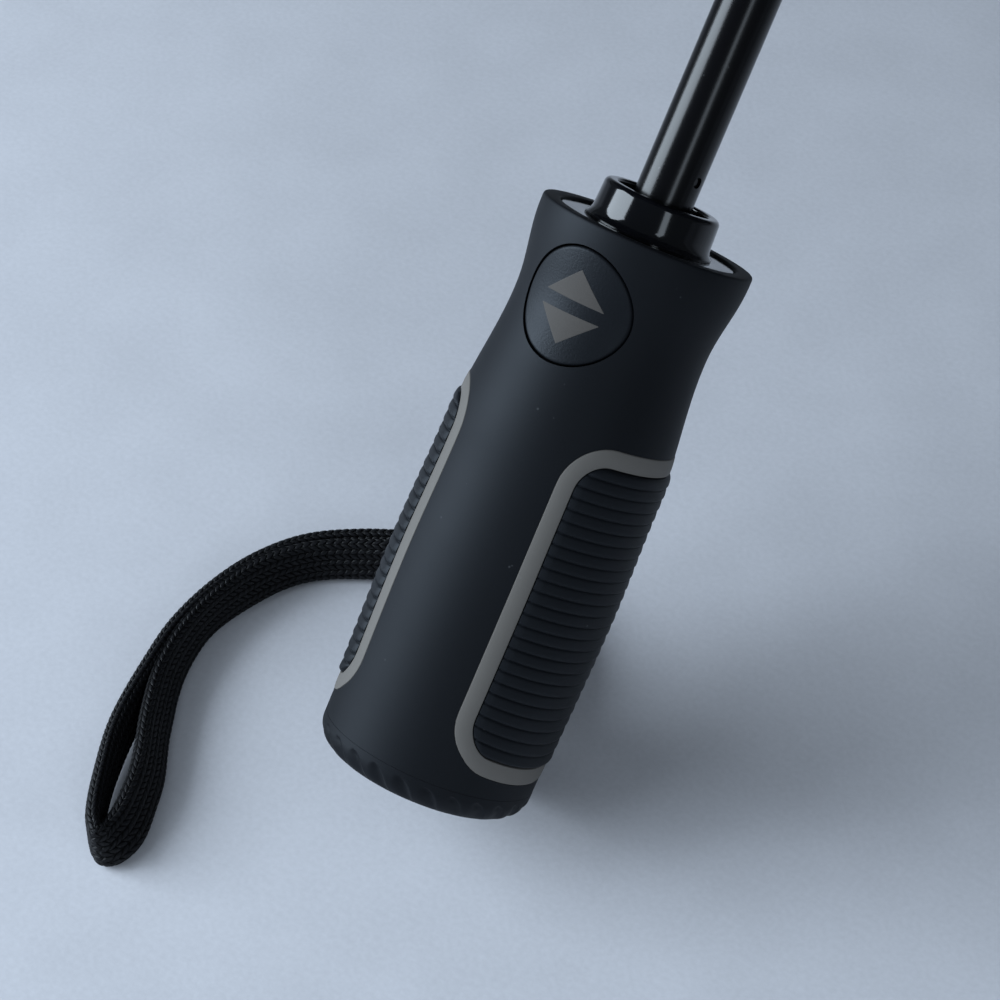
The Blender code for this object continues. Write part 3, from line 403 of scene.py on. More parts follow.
def through(points, per):
    # Even steps of a smooth curve through points, with its length
    dense = splined(points, 16)
    lengths = [0.0]
    for first, second in zip(dense, dense[1:]):
        lengths.append(lengths[-1] + (second - first).length)
    count = max(2, round(lengths[-1] / per))
    result = []
    cursor = 0
    for step in range(count + 1):
        goal = lengths[-1] * step / count
        while cursor < len(lengths) - 2 and lengths[cursor + 1] < goal:
            cursor += 1
        run = lengths[cursor + 1] - lengths[cursor]
        result.append(dense[cursor].lerp(dense[cursor + 1], (goal - lengths[cursor]) / run))
    return result, lengths[-1]


# ---- wrist strap: a braided flat cord that stands on its edge on the floor
strap = {
    "width": 8.5 * mm, "thickness": 2.7 * mm, "step": 0.24 * mm, "pitch": 1.45 * mm, "relief": 0.3 * mm,
    "lanes": 18, "around": 54, "slant": 0.7, "swell": 1.3, "crease": 3.6, "left": (-0.794, -0.608, 0),
    "back": (-0.608, 0.794, 0),
    # how the band stands: share of the length, lean to the left, lean back, millimetres right and nearer
    "stance": [
        (0.081, 0.0, 0.0, 0.0, 0.0), (0.148, -0.19, -0.16, -0.5, 0.5), (0.220, -0.31, -0.25, -0.8, 0.7),
        (0.290, -0.25, -0.25, -0.8, 0.0), (0.357, 0.08, -0.19, 0.8, 0.2), (0.433, 0.22, 0.06, 1.6, -0.1),
        (0.484, 0.05, 0.06, 2.0, -0.8), (0.511, 0.02, 0.11, 1.8, 0.0), (0.521, 0.44, 0.25, 0.7, 0.6),
        (0.533, 0.79, 0.42, 0.0, 0.2), (0.566, 0.62, 0.25, -0.2, 0.2), (0.612, 0.53, 0.0, -0.7, 0.0),
        (0.680, 0.40, -0.19, 0.0, -0.7), (0.739, 0.55, 0.06, -0.4, 0.0), (0.803, 0.46, 0.34, 0.2, 1.4),
        (0.869, 0.25, 0.25, 0.2, 1.1), (0.925, 0.0, 0.0, 0.0, 0.0)],
    # the middle of the band, in millimetres
    "route": [
        (2.4, -198.1, 12.8), (2.4, -195.7, 11.0), (2.3, -193.3, 9.1), (2.0, -190.3, 7.0),
        (1.5, -186.8, 5.5), (0.4, -181.8, 4.8), (-3.5, -174.5, 4.6), (-12.0, -167.5, 4.6),
        (-23.0, -165.2, 4.6), (-35.0, -167.2, 4.6), (-45.5, -172.5, 4.6), (-54.5, -181.0, 4.6),
        (-59.2, -191.0, 4.6), (-61.2, -202.0, 4.6), (-61.0, -213.0, 4.6), (-58.5, -223.5, 4.6),
        (-54.0, -237.5, 4.6), (-48.0, -250.0, 4.6), (-42.8, -257.8, 4.6), (-39.4, -260.3, 4.6),
        (-36.8, -258.0, 4.6), (-37.0, -252.5, 4.6), (-41.5, -242.5, 4.6), (-48.0, -232.5, 4.6),
        (-54.5, -222.0, 4.6), (-57.7, -212.0, 4.6), (-58.0, -202.5, 4.6), (-56.2, -192.5, 4.6),
        (-51.8, -183.2, 4.6), (-43.8, -175.6, 4.6), (-34.2, -170.5, 4.6), (-23.2, -168.5, 4.6),
        (-14.0, -170.6, 4.6), (-6.8, -176.2, 4.6), (-3.4, -182.0, 4.8), (-2.4, -186.8, 5.5),
        (-2.3, -190.3, 7.0), (-2.3, -193.3, 9.1), (-2.4, -195.7, 11.0), (-2.4, -198.1, 12.8)],
}


def makeBraidGroup():
    # Herringbone relief from (run, lane): plaits that lean in turn to either side
    tree, start, end = groupFrame("braidRelief", {"Place": None, "Lean": 0.8}, ["Height"])
    calc = partial(combine, tree)
    place = addNode(tree, "ShaderNodeSeparateXYZ", {0: start["Place"]}).outputs
    offset = calc("SUBTRACT", calc("FRACT", place["Y"]), 0.5)
    odd = calc("MODULO", calc("FLOOR", place["Y"]), 2.0)
    side = calc("SUBTRACT", calc("MULTIPLY", odd, 2.0), 1.0)
    slant = calc("MULTIPLY", calc("MULTIPLY", side, offset), start["Lean"])
    phase = calc("SUBTRACT", calc("FRACT", calc("ADD", place["X"], slant)), 0.5)
    across = calc("SUBTRACT", 1.0, calc("MULTIPLY", calc("MULTIPLY", phase, phase), 4.0))
    along = calc("SUBTRACT", 1.0, calc("MULTIPLY", calc("MULTIPLY", offset, offset), strap["crease"]))
    height = calc("MULTIPLY", calc("SQRT", calc("MULTIPLY", across, along)), strap["swell"])
    feed(tree, end, {"Height": calc("MINIMUM", height, 1.0)})
    return tree


def braidHeight(run, lane):
    # The same herringbone for the mesh
    offset = lane % 1 - 0.5
    side = 1 if int(lane) % 2 else -1
    phase = (run + side * offset * strap["slant"]) % 1 - 0.5
    height = math.sqrt(max(0, 1 - 4 * phase ** 2) * (1 - strap["crease"] * offset ** 2))
    return min(1, strap["swell"] * height)


def strapMaterial():
    material, tree, shader = newMaterial("braidedCord", (0.003, 0.003, 0.0036), 0.55, Specular_IOR_Level=0.32)
    braid = addNode(tree, "ShaderNodeGroup", {"Place": uvSpace(tree, "braid"), "Lean": strap["slant"]},
                    node_tree=makeBraidGroup())
    height = braid.outputs["Height"]
    place = objectSpace(tree)
    fibre = noise(tree, place, 5200.0, 2.0)
    # pale flecks at random: painted glints on the fibres
    glintFlecks = ranged(tree, noise(tree, place, 1700.0, 2.0), 0.62, 0.72, 0.0, 0.5)
    # painted shade: the braid's low parts between the plaits are coloured near black
    base = mixed(tree, ranged(tree, height, 0.35, 1.0), (0.0004, 0.0004, 0.0006, 1),
                 (0.0048, 0.0049, 0.0064, 1))
    feed(tree, shader, {
        "Base Color": mixed(tree, glintFlecks, base, (0.030, 0.032, 0.036, 1)),
        "Normal": bumped(tree, fibre, 0.5, 0.00004, Normal=bumped(tree, height, 0.8, 0.00035))})
    return material


def strapSection():
    # (across, outward, direction across, direction outward) round a flat loop with round edges
    radius = strap["thickness"] / 2
    flat = strap["width"] / 2 - radius
    half = 2 * flat + math.pi * radius
    section = []
    for k in range(strap["around"]):
        sign, s = 1, 2 * half * k / strap["around"]
        if s >= half:
            sign, s = -1, s - half
        spot = (-flat + s, radius, 0, 1)
        if s >= 2 * flat:
            a = (s - 2 * flat) / radius
            spot = (flat + radius * math.sin(a), radius * math.cos(a), math.sin(a), math.cos(a))
        section.append([sign * part for part in spot])
    return section


def stanceAt(share):
    stance = strap["stance"]
    if share <= stance[0][0] or share >= stance[-1][0]:
        return stance[0][1:]
    for first, second in zip(stance, stance[1:]):
        if share <= second[0]:
            return between(first[1:], second[1:], smooth((share - first[0]) / (second[0] - first[0])))


def makeStrap():
    points, length = through([Vector(point) * mm for point in strap["route"]], strap["step"])
    last = len(points) - 1
    section = strapSection()
    aside, back = Vector(strap["left"]), Vector(strap["back"])
    bm = bmesh.new()
    rows, lookup = [], {}
    for index, point in enumerate(points):
        tangent = (points[min(index + 1, last)] - points[max(index - 1, 0)]).normalized()
        leanLeft, leanBack, right, nearer = stanceAt(index / last)
        up = Vector((0, 0, 1)) + aside * leanLeft + back * leanBack
        up = (up - tangent * up.dot(tangent)).normalized()
        side = tangent.cross(up)
        centre = point - aside * right * mm - back * nearer * mm
        # a leaning band comes down on the floor
        leaning = smooth(4 * (abs(leanLeft) + abs(leanBack)))
        centre.z -= leaning * (strap["width"] - strap["thickness"]) / 2 * (1 - up.z)
        run = length * index / last / strap["pitch"]
        row = []
        for k, (across, outward, dirAcross, dirOut) in enumerate(section):
            lane = strap["lanes"] * k / strap["around"]
            sunk = strap["relief"] * (braidHeight(run, lane) - 1)
            vert = bm.verts.new(centre + up * (across + dirAcross * sunk * 0.8)
                                + side * (outward + dirOut * sunk))
            lookup[vert] = (run, lane)
            row.append(vert)
        rows.append(row)
    tubeFaces(bm, rows)
    layer = bm.loops.layers.uv.new("braid")
    for face in bm.faces:
        wraps = max(lookup[vert][1] for vert in face.verts) > strap["lanes"] * 0.75
        for loop in face.loops:
            run, lane = lookup[loop.vert]
            loop[layer].uv = (run, lane + (strap["lanes"] if wraps and lane == 0 else 0))
    mesh = meshOf(bm, "wristStrap", angle=180, local=False)
    item = addPiece("wristStrap", mesh, "strap", "handle", "wrist_strap")
    print("strap laid", round(length / mm), "mm")


surfaces["strap"] = strapMaterial()
makeStrap()

# ---- handle
handle = {"length": 103.5 * mm, "cap": 5.2 * mm, "gap": 0.3 * mm, "seam": 0.05 * mm,
          "plateBottom": 101.9 * mm,
          "stations": [(5.2, 19.6), (38.0, 20.05), (62.0, 19.5), (87.0, 17.5), (102.1, 19.15)]}
shell = {"segments": 180, "rings": 22, "lip": 3.1 * mm, "outerRound": (0.35 * mm, 0.6 * mm),
         "innerRound": 0.4 * mm, "skirt": 11.2 * mm, "well": 97.7 * mm, "bore": 5.3 * mm,
         "boreFoot": 5.4 * mm, "boreEnd": 29.7 * mm, "buttonHole": (10.9 * mm, 21.5 * mm),
         "springPocket": (7.3 * mm, 12.0 * mm), "pocketRadius": 4.5 * mm, "pocketHeight": 89 * mm,
         "strapWindow": ((-3.9, 11.35, 9), (3.9, 22, 19))}
grip = {"bottom": 13.4 * mm, "top": 66.8 * mm, "half": math.radians(49.1), "band": 3.3 * mm,
        "corner": 5.2 * mm, "bow": 1.8 * mm, "slit": 0.14 * mm, "floor": 17.4 * mm, "padFloor": 17.7 * mm,
        "cover": 22 * mm, "room": 0.07 * mm, "ribs": 25, "crest": 0.62 * mm, "valley": 0.25 * mm,
        "belly": 20.05 * mm, "columns": 48, "edgeDrop": 0.4 * mm, "edgeWidth": 0.45 * mm,
        # each rib hangs over a narrow groove at its lower edge: share of the pitch, share of the crest
        "saw": [(0.00, -0.05), (0.04, 0.0), (0.085, 0.5), (0.14, 0.8), (0.22, 0.97), (0.36, 1.0),
                (0.52, 0.9), (0.70, 0.76), (0.84, 0.6), (0.94, 0.36), (0.98, 0.05)],
        # the frame's section: share of the band, millimetres above the shell
        "bandSection": [(0.0, -2.0), (0.0, -0.05), (0.02, 0.06), (0.08, 0.12), (0.5, 0.16), (0.92, 0.12),
                        (0.98, 0.06), (1.0, -0.05), (1.0, -2.0)]}
button = {"radius": 9.88 * mm, "height": 89.45 * mm, "aside": 0.45 * mm, "inner": 15.4 * mm, "rings": 30,
          "segments": 144, "edge": 0.5 * mm, "skirt": 0.7 * mm, "gap": 0.3 * mm, "sink": 0.05 * mm,
          "turn": math.radians(1.2),
          "marks": {"markUp": [(-5.75, 0.98), (-0.10, 6.22), (5.70, 0.85)],
                    "markDown": [(-5.80, -1.45), (-0.15, -6.85), (5.60, -1.40)]}}


def bodyRadius(height):
    stations = [(h * mm, r * mm) for h, r in handle["stations"]]
    if height <= stations[0][0]:
        return stations[0][1]
    for (low, first), (high, second) in zip(stations, stations[1:]):
        if height <= high:
            return first + (second - first) * (1 - math.cos(math.pi * (height - low) / (high - low))) / 2
    return stations[-1][1]


def bowed(angle, height):
    across = min(1, abs(angle) / grip["half"])
    up = min(1, max(0, (height - grip["bottom"]) / (grip["top"] - grip["bottom"])))
    return height - grip["bow"] * (1 - across ** 2) * (1 - up) ** 4


def gripOutline(spread, arcSteps=10, longSteps=40, shortSteps=24):
    # The grip's edge, spread outwards, as (angle, height) points
    half = grip["half"] + spread / grip["belly"]
    corner = grip["corner"] + spread
    turn = corner / grip["belly"]
    low, high = grip["bottom"] - spread + corner, grip["top"] + spread - corner
    spots = [(half - turn, high), (half - turn, low), (turn - half, low), (turn - half, high)]
    shares = [step / arcSteps for step in range(arcSteps + 1)]
    bends = [arc(*spot, turn, corner, [(1 - index - share) / 4 for share in shares])
             for index, spot in enumerate(spots)]
    points = []
    for index, bend in enumerate(bends):
        goal = bends[(index + 1) % 4][0]
        steps = shortSteps if index % 2 else longSteps
        points += bend + [between(bend[-1], goal, step / steps) for step in range(1, steps)]
    return [(angle, bowed(angle, height)) for angle, height in points]


def halfWidth(height, spread):
    corner = grip["corner"] + spread
    depth = min(height - grip["bottom"] + spread, grip["top"] + spread - height)
    inset = corner - math.sqrt(max(0, corner ** 2 - max(0, corner - depth) ** 2))
    return grip["half"] + (spread - inset) / grip["belly"]


def patch(side, rows, spread, inner, radiusAt):
    # A closed block over the handle's side; rows are (height, lift)
    bm = bmesh.new()
    outerRows, innerRows = [], []
    for height, lift in rows:
        half = halfWidth(height, spread)
        spots = []
        for column in range(grip["columns"] + 1):
            share = 2 * column / grip["columns"] - 1
            spots.append((share, side + half * share, bowed(half * share, height)))
        outerRows.append(vertRow(bm, [polar(radiusAt(height, lift, spot, (1 - abs(share)) * half), turn, spot)
                                      for share, turn, spot in spots]))
        innerRows.append(vertRow(bm, [polar(inner, turn, spot) for share, turn, spot in spots]))
    blockFaces(bm, outerRows, innerRows)
    return bm


def pocketRows(spread):
    corner = grip["corner"] + spread
    low, high = grip["bottom"] - spread, grip["top"] + spread
    ends = [corner * (1 - math.cos(math.pi * k / 24)) for k in range(13)]
    middle = [low + corner + (high - low - 2 * corner) * k / 40 for k in range(1, 40)]
    heights = [low + end for end in ends] + middle + [high - end for end in reversed(ends)]
    return [(height, 0) for height in heights]


def padRadius(height, lift, spot, inset):
    edge = min(inset * grip["belly"], height - grip["bottom"], grip["top"] - height)
    drop = grip["edgeDrop"] * (1 - smooth(edge / grip["edgeWidth"]))
    return bodyRadius(spot) + grip["valley"] + (grip["crest"] - grip["valley"]) * lift - drop


def makeShell():
    skin = []
    for (low, _), (high, _) in zip(handle["stations"], handle["stations"][1:]):
        for ring in range(shell["rings"]):
            height = (low + (high - low) * ring / shell["rings"]) * mm
            skin.append((bodyRadius(height), max(height, handle["cap"] + handle["seam"])))
    skin.append((bodyRadius(handle["stations"][-1][0] * mm), handle["stations"][-1][0] * mm))
    outer, top = skin[-1][0], handle["length"]
    recess = outer - shell["lip"]
    across, up = shell["outerRound"]
    lip = arc(outer - across, top - up, across, up, [k / 24 for k in range(1, 7)])
    up = shell["innerRound"]
    lip += arc(recess + up, top - up, -up, up, [k / 20 for k in range(5, -1, -1)])
    seat = handle["plateBottom"] - handle["gap"]
    profile = [(0, handle["cap"] + handle["seam"])] + skin + lip
    profile += [(recess, seat), (shell["skirt"], seat), (shell["skirt"], shell["well"]),
                (shell["bore"], shell["well"]), (shell["boreFoot"], shell["boreEnd"]), (0, shell["boreEnd"])]
    mesh = meshOf(lathe(profile, shell["segments"], closed=False), "handleShell")
    near, far = [(button["aside"], -depth, button["height"]) for depth in shell["buttonHole"]]
    pocket = [(0, -depth, shell["pocketHeight"]) for depth in shell["springPocket"]]
    cutters = [rodMesh(near, far, button["radius"] + button["gap"], 120),
               rodMesh(*pocket, shell["pocketRadius"]),
               boxMesh(*shell["strapWindow"])]
    spread = grip["band"] + grip["room"]
    for side in (0, math.pi):
        block = patch(side, pocketRows(spread), spread, grip["floor"], lambda *spot: grip["cover"])
        cutters.append(meshOf(block, "pocket"))
    addPiece("handleShell", cutMesh(mesh, cutters, 35), "handle", "handle", "handle_shell")


def makeGrips():
    pitch = (grip["top"] - grip["bottom"]) / grip["ribs"]
    rows = [(grip["bottom"] + pitch * (rib + share), lift) for rib in range(grip["ribs"])
            for share, lift in grip["saw"]]
    rows.append((grip["top"], 0.3))
    edges = list(zip(gripOutline(grip["slit"]), gripOutline(grip["band"])))
    for side, angle in (("Right", 0), ("Left", math.pi)):
        bm = patch(angle, rows, 0, grip["padFloor"], padRadius)
        addPiece("gripPad" + side, meshOf(bm, "gripPad" + side, angle=50), "rubber", "handle",
                 "grip_pad_" + side.lower())
        bm = bmesh.new()
        rings = []
        for inner, outer in edges:
            spots = [(*between(inner, outer, share), lift * mm) for share, lift in grip["bandSection"]]
            rings.append(vertRow(bm, [polar(bodyRadius(h) + lift, angle + a, h) for a, h, lift in spots]))
        gridFaces(bm, rings + rings[:1], loop=True)
        addPiece("gripFrame" + side, meshOf(bm, "gripFrame" + side, angle=40), "trim", "handle",
                 "grip_frame_" + side.lower())


foot = {"radius": 19.6 * mm, "round": 4.0 * mm, "height": 5.2 * mm, "flutes": 25, "depth": 0.5 * mm,
        "slant": math.radians(1.33) / mm, "columns": 26, "rows": 44, "crown": 6.6 * mm, "shoulder": 4.2 * mm,
        "start": 1.2 * mm, "fade": 3.2 * mm, "half": 0.40, "crisp": 1.8}


def makeFoot():
    # Arched hollows that lean round the rolled edge of the foot, each with one crisp side
    bm = bmesh.new()
    count = foot["flutes"] * foot["columns"]
    flat = foot["radius"] - foot["round"]
    roll = foot["round"] * math.pi / 2
    top = roll + foot["height"] - foot["round"]
    rows = []
    for row in range(foot["rows"] + 1):
        run = top * row / foot["rows"]
        angle = min(run, roll) / foot["round"]
        radius = flat + foot["round"] * math.sin(angle)
        height = foot["round"] * (1 - math.cos(angle)) + max(0, run - roll)
        arch = max(0, run - foot["shoulder"]) / (foot["crown"] - foot["shoulder"])
        widening = 1 + 0.25 * smooth(1 - run / foot["shoulder"])
        half = foot["half"] * math.sqrt(max(0, 1 - arch ** 2)) * widening
        depth = foot["depth"] * smooth((run - foot["start"]) / foot["fade"])
        depth *= min(1, half / foot["half"] * 1.4)
        ring = []
        for column in range(count):
            turn = tau * column / count
            phase = ((turn + foot["slant"] * run) / tau * foot["flutes"]) % 1 - 0.5
            across = phase / half if half > 0.01 else 2
            inward = 0
            if abs(across) < 1:
                inward = depth * math.sin(math.pi * ((across + 1) / 2) ** foot["crisp"])
            ring.append(polar(radius - inward * math.sin(angle), turn, height + inward * math.cos(angle)))
        rows.append(vertRow(bm, ring))
    tubeFaces(bm, rows)
    addPiece("footCap", meshOf(bm, "footCap", angle=40), "handle", "handle", "end_cap")


plate = [(15.85, 103.1, 0.25), (15.85, 101.9), (11.0, 101.9), (11.0, 103.1, 0.1)]
collar = [(8.2, 110.0, 0.5), (10.42, 110.0, 0.95), (10.64, 105.4), (10.72, 104.6), (10.90, 104.05),
          (11.16, 103.7), (11.5, 103.45), (11.5, 103.15), (10.8, 103.15), (10.8, 98.0), (5.5, 98.0),
          (5.5, 99.6, 0.2), (8.2, 99.6, 0.2)]


def makeCollar():
    addPiece("topPlate", turnedMesh("topPlate", plate, 160), "gloss", "handle", "top_plate")
    addPiece("collar", turnedMesh("collar", collar, 144, steps=8, angle=35), "gloss", "handle", "collar")


def faceDepth(x, z, below=0.0):
    # Distance of the button's face from the shaft's axis, at x across and z up from its centre
    crown = bodyRadius(button["height"] + z) - button["sink"]
    inset = max(0, button["edge"] - button["radius"] + math.hypot(x, z))
    drop = button["edge"] - math.sqrt(max(0, button["edge"] ** 2 - inset ** 2))
    return math.sqrt(max(0, crown ** 2 - (x + button["aside"]) ** 2)) - drop - below


def faceRow(bm, spots, below=0.0, deepest=1.0):
    return vertRow(bm, [(x + button["aside"], -min(deepest, faceDepth(x, z, below)), button["height"] + z)
                        for x, z in spots])


def makeMark(name, spots):
    turn = Matrix.Rotation(button["turn"], 2)
    points = [turn @ (Vector(spot) * mm) for spot in spots]
    corners = [Vector(corner) for corner in rounded([(*point, 0.06 * mm) for point in points], 2)]
    centre = sum(points, Vector((0, 0))) / 3
    dense = []
    for first, second in zip(corners, corners[1:] + corners[:1]):
        steps = max(1, round((second - first).length / (0.5 * mm)))
        dense += [first.lerp(second, k / steps) for k in range(steps)]
    # scale about the middle, millimetres below the button's face
    levels = [(1.0, 0.10), (1.0, -0.02)] + [(0.985 * (1 - k / 14), -0.03) for k in range(14)]
    bm = bmesh.new()
    tubeFaces(bm, [faceRow(bm, [centre + (spot - centre) * scale for spot in dense], below * mm)
                   for scale, below in levels])
    addPiece(name, meshOf(bm, name, angle=50), "mark", "button_body")


def makeButton():
    rings = [((1 - (1 - ring / button["rings"]) ** 1.6), 0.0, 1.0) for ring in range(button["rings"] + 1)]
    rings += [(scale, button["skirt"], button["inner"]) for scale in (1, 0.8, 0.55, 0.3)]
    turns = [k / button["segments"] for k in range(button["segments"])]
    bm = bmesh.new()
    rows = []
    for scale, below, deepest in rings:
        radius = button["radius"] * scale
        rows.append(faceRow(bm, arc(0, 0, radius, radius, turns), below, deepest))
    gridFaces(bm, rows, loop=True)
    bm.faces.new(rows[-1])
    addPiece("pushButton", meshOf(bm, "pushButton", angle=50), "button", "button_body", "button")
    for name, spots in button["marks"].items():
        makeMark(name, spots)


makeShell()
makeGrips()
makeFoot()
makeCollar()
makeButton()
print("handle built")

# ---- shaft tubes, in millimetres
tubes = {
    "inner": {"outer": 5.2, "bore": 4.55, "low": 30.0, "high": 250.9, "body": "handle"},
    "middle": {"outer": 6.2, "bore": 5.55, "low": 227.9, "high": 380.9, "body": "middle_tube_body"},
    "outer": {"outer": 7.2, "bore": 6.55, "low": 357.9, "high": 557.4, "body": "head"},
}
latch = {"height": 114.8 * mm, "turn": math.radians(-10), "hole": 0.95 * mm, "depth": 7 * mm,
         "pin": 0.62 * mm, "tip": 4.75 * mm}


def makeTubes():
    edge, collarLength = 0.2, 3
    for name, tube in tubes.items():
        outer, bore, low, high, body = tube.values()
        outline = [(outer, high, edge), (outer, low + collarLength), (outer, low, edge), (bore, low, edge),
                   (bore, high, edge)]
        mesh = turnedMesh(name + "Tube", outline, 72, steps=3, angle=35)
        if name == "inner":
            start = Vector((0, 0, latch["height"]))
            aside = polar(1, latch["turn"], 0)
            mesh = cutMesh(mesh, [rodMesh(start, start + aside * latch["depth"], latch["hole"], 32)], 35)
            pin = rodMesh(start, start + aside * latch["tip"], latch["pin"], 32)
            addPiece("latchPin", pin, "tube", "handle", "latch_pin", slotName="steel")
        addPiece(name + "Tube", mesh, "tube", body, name + "_tube")


makeTubes()
print("shaft built")

# ---- crown, runner and springs, in millimetres
ribSet = {"count": 8, "turn": tau / 8, "slot": 4.4, "slotFloor": 9.7, "slotDepth": 9}
azimuths = [math.pi / 2 + ribSet["turn"] * (index + 0.5) for index in range(ribSet["count"])]
crown = {"height": 555.9, "slots": (-6.5, 1.9), "outline": [
    (3.2, 3.0), (14.0, 3.0, 0.4), (14.0, 1.9, 0.3), (13.4, 1.9), (13.4, 0.8, 0.15), (10.7, 0.8), (10.7, -0.8),
    (13.4, -0.8, 0.15), (13.4, -4.5, 0.5), (7.5, -4.5, 0.3), (7.5, 1.8), (3.2, 1.8)]}
runner = {"height": 518.8917, "slots": (-4.6, 4.6), "outline": [
    (7.5, 4.0, 0.2), (9.6, 4.0, 0.5), (9.6, 2.6), (13.2, 2.6, 0.6), (13.2, -2.6, 0.6), (9.6, -2.6),
    (9.6, -5.0, 0.2), (9.2, -5.4, 0.3), (9.2, -6.4, 0.3), (9.6, -6.8, 0.2), (9.6, -10.0, 0.6),
    (7.5, -10.0, 0.2)]}
cap = {"radius": 9.5, "foot": 4.2, "rise": 8.0, "stem": 2.9, "stemFoot": 2.1, "steps": 20}
wire = {"ring": 11.5, "radius": 0.45}


def slottedMesh(name, part):
    low, high = [part["height"] + end for end in part["slots"]]
    floor, half = ribSet["slotFloor"], ribSet["slot"] / 2
    cutters = [boxMesh((floor, -half, low), (floor + ribSet["slotDepth"], half, high), azimuth)
               for azimuth in azimuths]
    return cutMesh(turnedMesh(name, part["outline"], 96, part["height"]), cutters)


def makeHead():
    addPiece("crownNotched", slottedMesh("crownNotched", crown), "joint", "head", "crown")
    addPiece("runnerSleeve", slottedMesh("runnerSleeve", runner), "joint", "runner_body", "runner")
    angles = [math.pi / 2 * (1 - k / cap["steps"]) for k in range(cap["steps"])]
    dome = [(cap["radius"] * math.cos(a), cap["foot"] + cap["rise"] * math.sin(a) ** 1.15) for a in angles]
    dome = [(0, cap["foot"] + cap["rise"])] + dome + [
        (cap["radius"], cap["foot"]), (cap["stem"], cap["foot"]), (cap["stem"], cap["stemFoot"]),
        (0, cap["stemFoot"])]
    mesh = turnedMesh("topCap", dome, 96, crown["height"], angle=40, closed=False)
    addPiece("topCap", mesh, "joint", "head", "top_cap")
    ring = arc(wire["ring"], 0, wire["radius"], wire["radius"], [-k / 12 for k in range(12)])
    mesh = turnedMesh("crownWire", ring, 96, crown["height"], angle=60)
    addPiece("crownWire", mesh, "steel", "head", "crown_wire")


def coilTree():
    # A wound spring: a spiral that Geometry Nodes turns into round wire
    tree = bpy.data.node_groups.new("woundSpring", "GeometryNodeTree")
    for label, value in (("Radius", 0.01), ("Wire", 0.0005), ("Curls", 5.0), ("Height", 0.02)):
        socket = tree.interface.new_socket(label, in_out="INPUT", socket_type="NodeSocketFloat")
        socket.default_value = value
    tree.interface.new_socket("Finish", in_out="INPUT", socket_type="NodeSocketMaterial")
    tree.interface.new_socket("Geometry", in_out="OUTPUT", socket_type="NodeSocketGeometry")
    start = tree.nodes.new("NodeGroupInput").outputs
    spiral = addNode(tree, "GeometryNodeCurveSpiral", {
        "Resolution": 28, "Rotations": start["Curls"], "Start Radius": start["Radius"],
        "End Radius": start["Radius"], "Height": start["Height"]})
    ring = addNode(tree, "GeometryNodeCurvePrimitiveCircle", {"Resolution": 10, "Radius": start["Wire"]})
    tube = addNode(tree, "GeometryNodeCurveToMesh",
                   {"Curve": spiral.outputs[0], "Profile Curve": ring.outputs["Curve"], "Fill Caps": True})
    real = addNode(tree, "GeometryNodeRealizeInstances", {"Geometry": tube.outputs["Mesh"]})
    painted = addNode(tree, "GeometryNodeSetMaterial",
                      {"Geometry": real.outputs["Geometry"], "Material": start["Finish"]})
    feed(tree, tree.nodes.new("NodeGroupOutput"), {"Geometry": painted.outputs["Geometry"]})
    return tree


springs = {
    "closingSpring": {"Radius": 8.75, "Wire": 0.45, "Curls": 9.0, "Height": 27.3, "body": "head",
                      "place": (0, 0, 523.65), "turn": 0, "node": "closing_spring"},
    "buttonSpring": {"Radius": 3.2, "Wire": 0.35, "Curls": 4.0, "Height": 6.9, "body": "handle",
                     "place": (0, -7.85, 89.0), "turn": math.pi / 2, "node": "button_spring"},
    "driveSpring": {"Radius": 3.4, "Wire": 0.4, "Curls": 7.0, "Height": 50.0, "body": "handle",
                    "place": (0, 0, 30.4), "turn": 0, "node": "drive_spring"},
}


def makeSprings():
    tree = coilTree()
    for name, spring in springs.items():
        item = bpy.data.objects.new(name, bpy.data.meshes.new(name))
        scene.collection.objects.link(item)
        modifier = item.modifiers.new("wound", "NODES")
        modifier.node_group = tree
        for socket in tree.interface.items_tree:
            if socket.in_out == "INPUT" and socket.name in spring:
                size = spring[socket.name] if socket.name == "Curls" else spring[socket.name] * mm
                modifier[socket.identifier] = size
            elif socket.in_out == "INPUT" and socket.name == "Finish":
                modifier[socket.identifier] = surfaces["steel"]
        mesh = plainMesh(item, name)
        mesh.transform(toWorld @ Matrix.Translation(Vector(spring["place"]) * mm)
                       @ Matrix.Rotation(spring["turn"], 4, "X"))
        piece = addPiece(name, smoothed(mesh, 60), "steel", spring["body"], spring["node"])
        if name == "buttonSpring":
            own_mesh(piece)


makeHead()
makeSprings()
print("crown, runner and springs built")

# ---- canopy: each half of a gore is cut where the ribs fold, and folds in towards its rib
canopy = {
    "stations": [(5.0, 559.2), (14.3, 559.2), (96.484, 542.079), (180.802, 525.128), (262.874, 493.688),
                 (345.748, 462.405), (392.682, 434.114), (444.581, 397.174), (493.403, 355.998)],
    "pull": [0, 0, 0, 0, 0, 0.1, 0.3, 0.6, 1], "sag": [0, 0, 0.5, 0.8, 1, 1, 0.9, 0.6, 0.3],
    "scallop": 24 * mm, "hang": 4 * mm, "ripple": 0.9 * mm, "thickness": 0.4 * mm, "clear": 0.05 * mm,
    "rows": 22, "columns": 22, "crowding": 1.5, "lean": 0.16, "halfGore": 0.383,
    "seam": 3.2 * mm, "seamRise": 0.35 * mm, "hem": 7.0 * mm, "hemRise": 0.3 * mm, "slope": 0.8 * mm,
    "crownRows": 9, "crownColumns": 20,
}


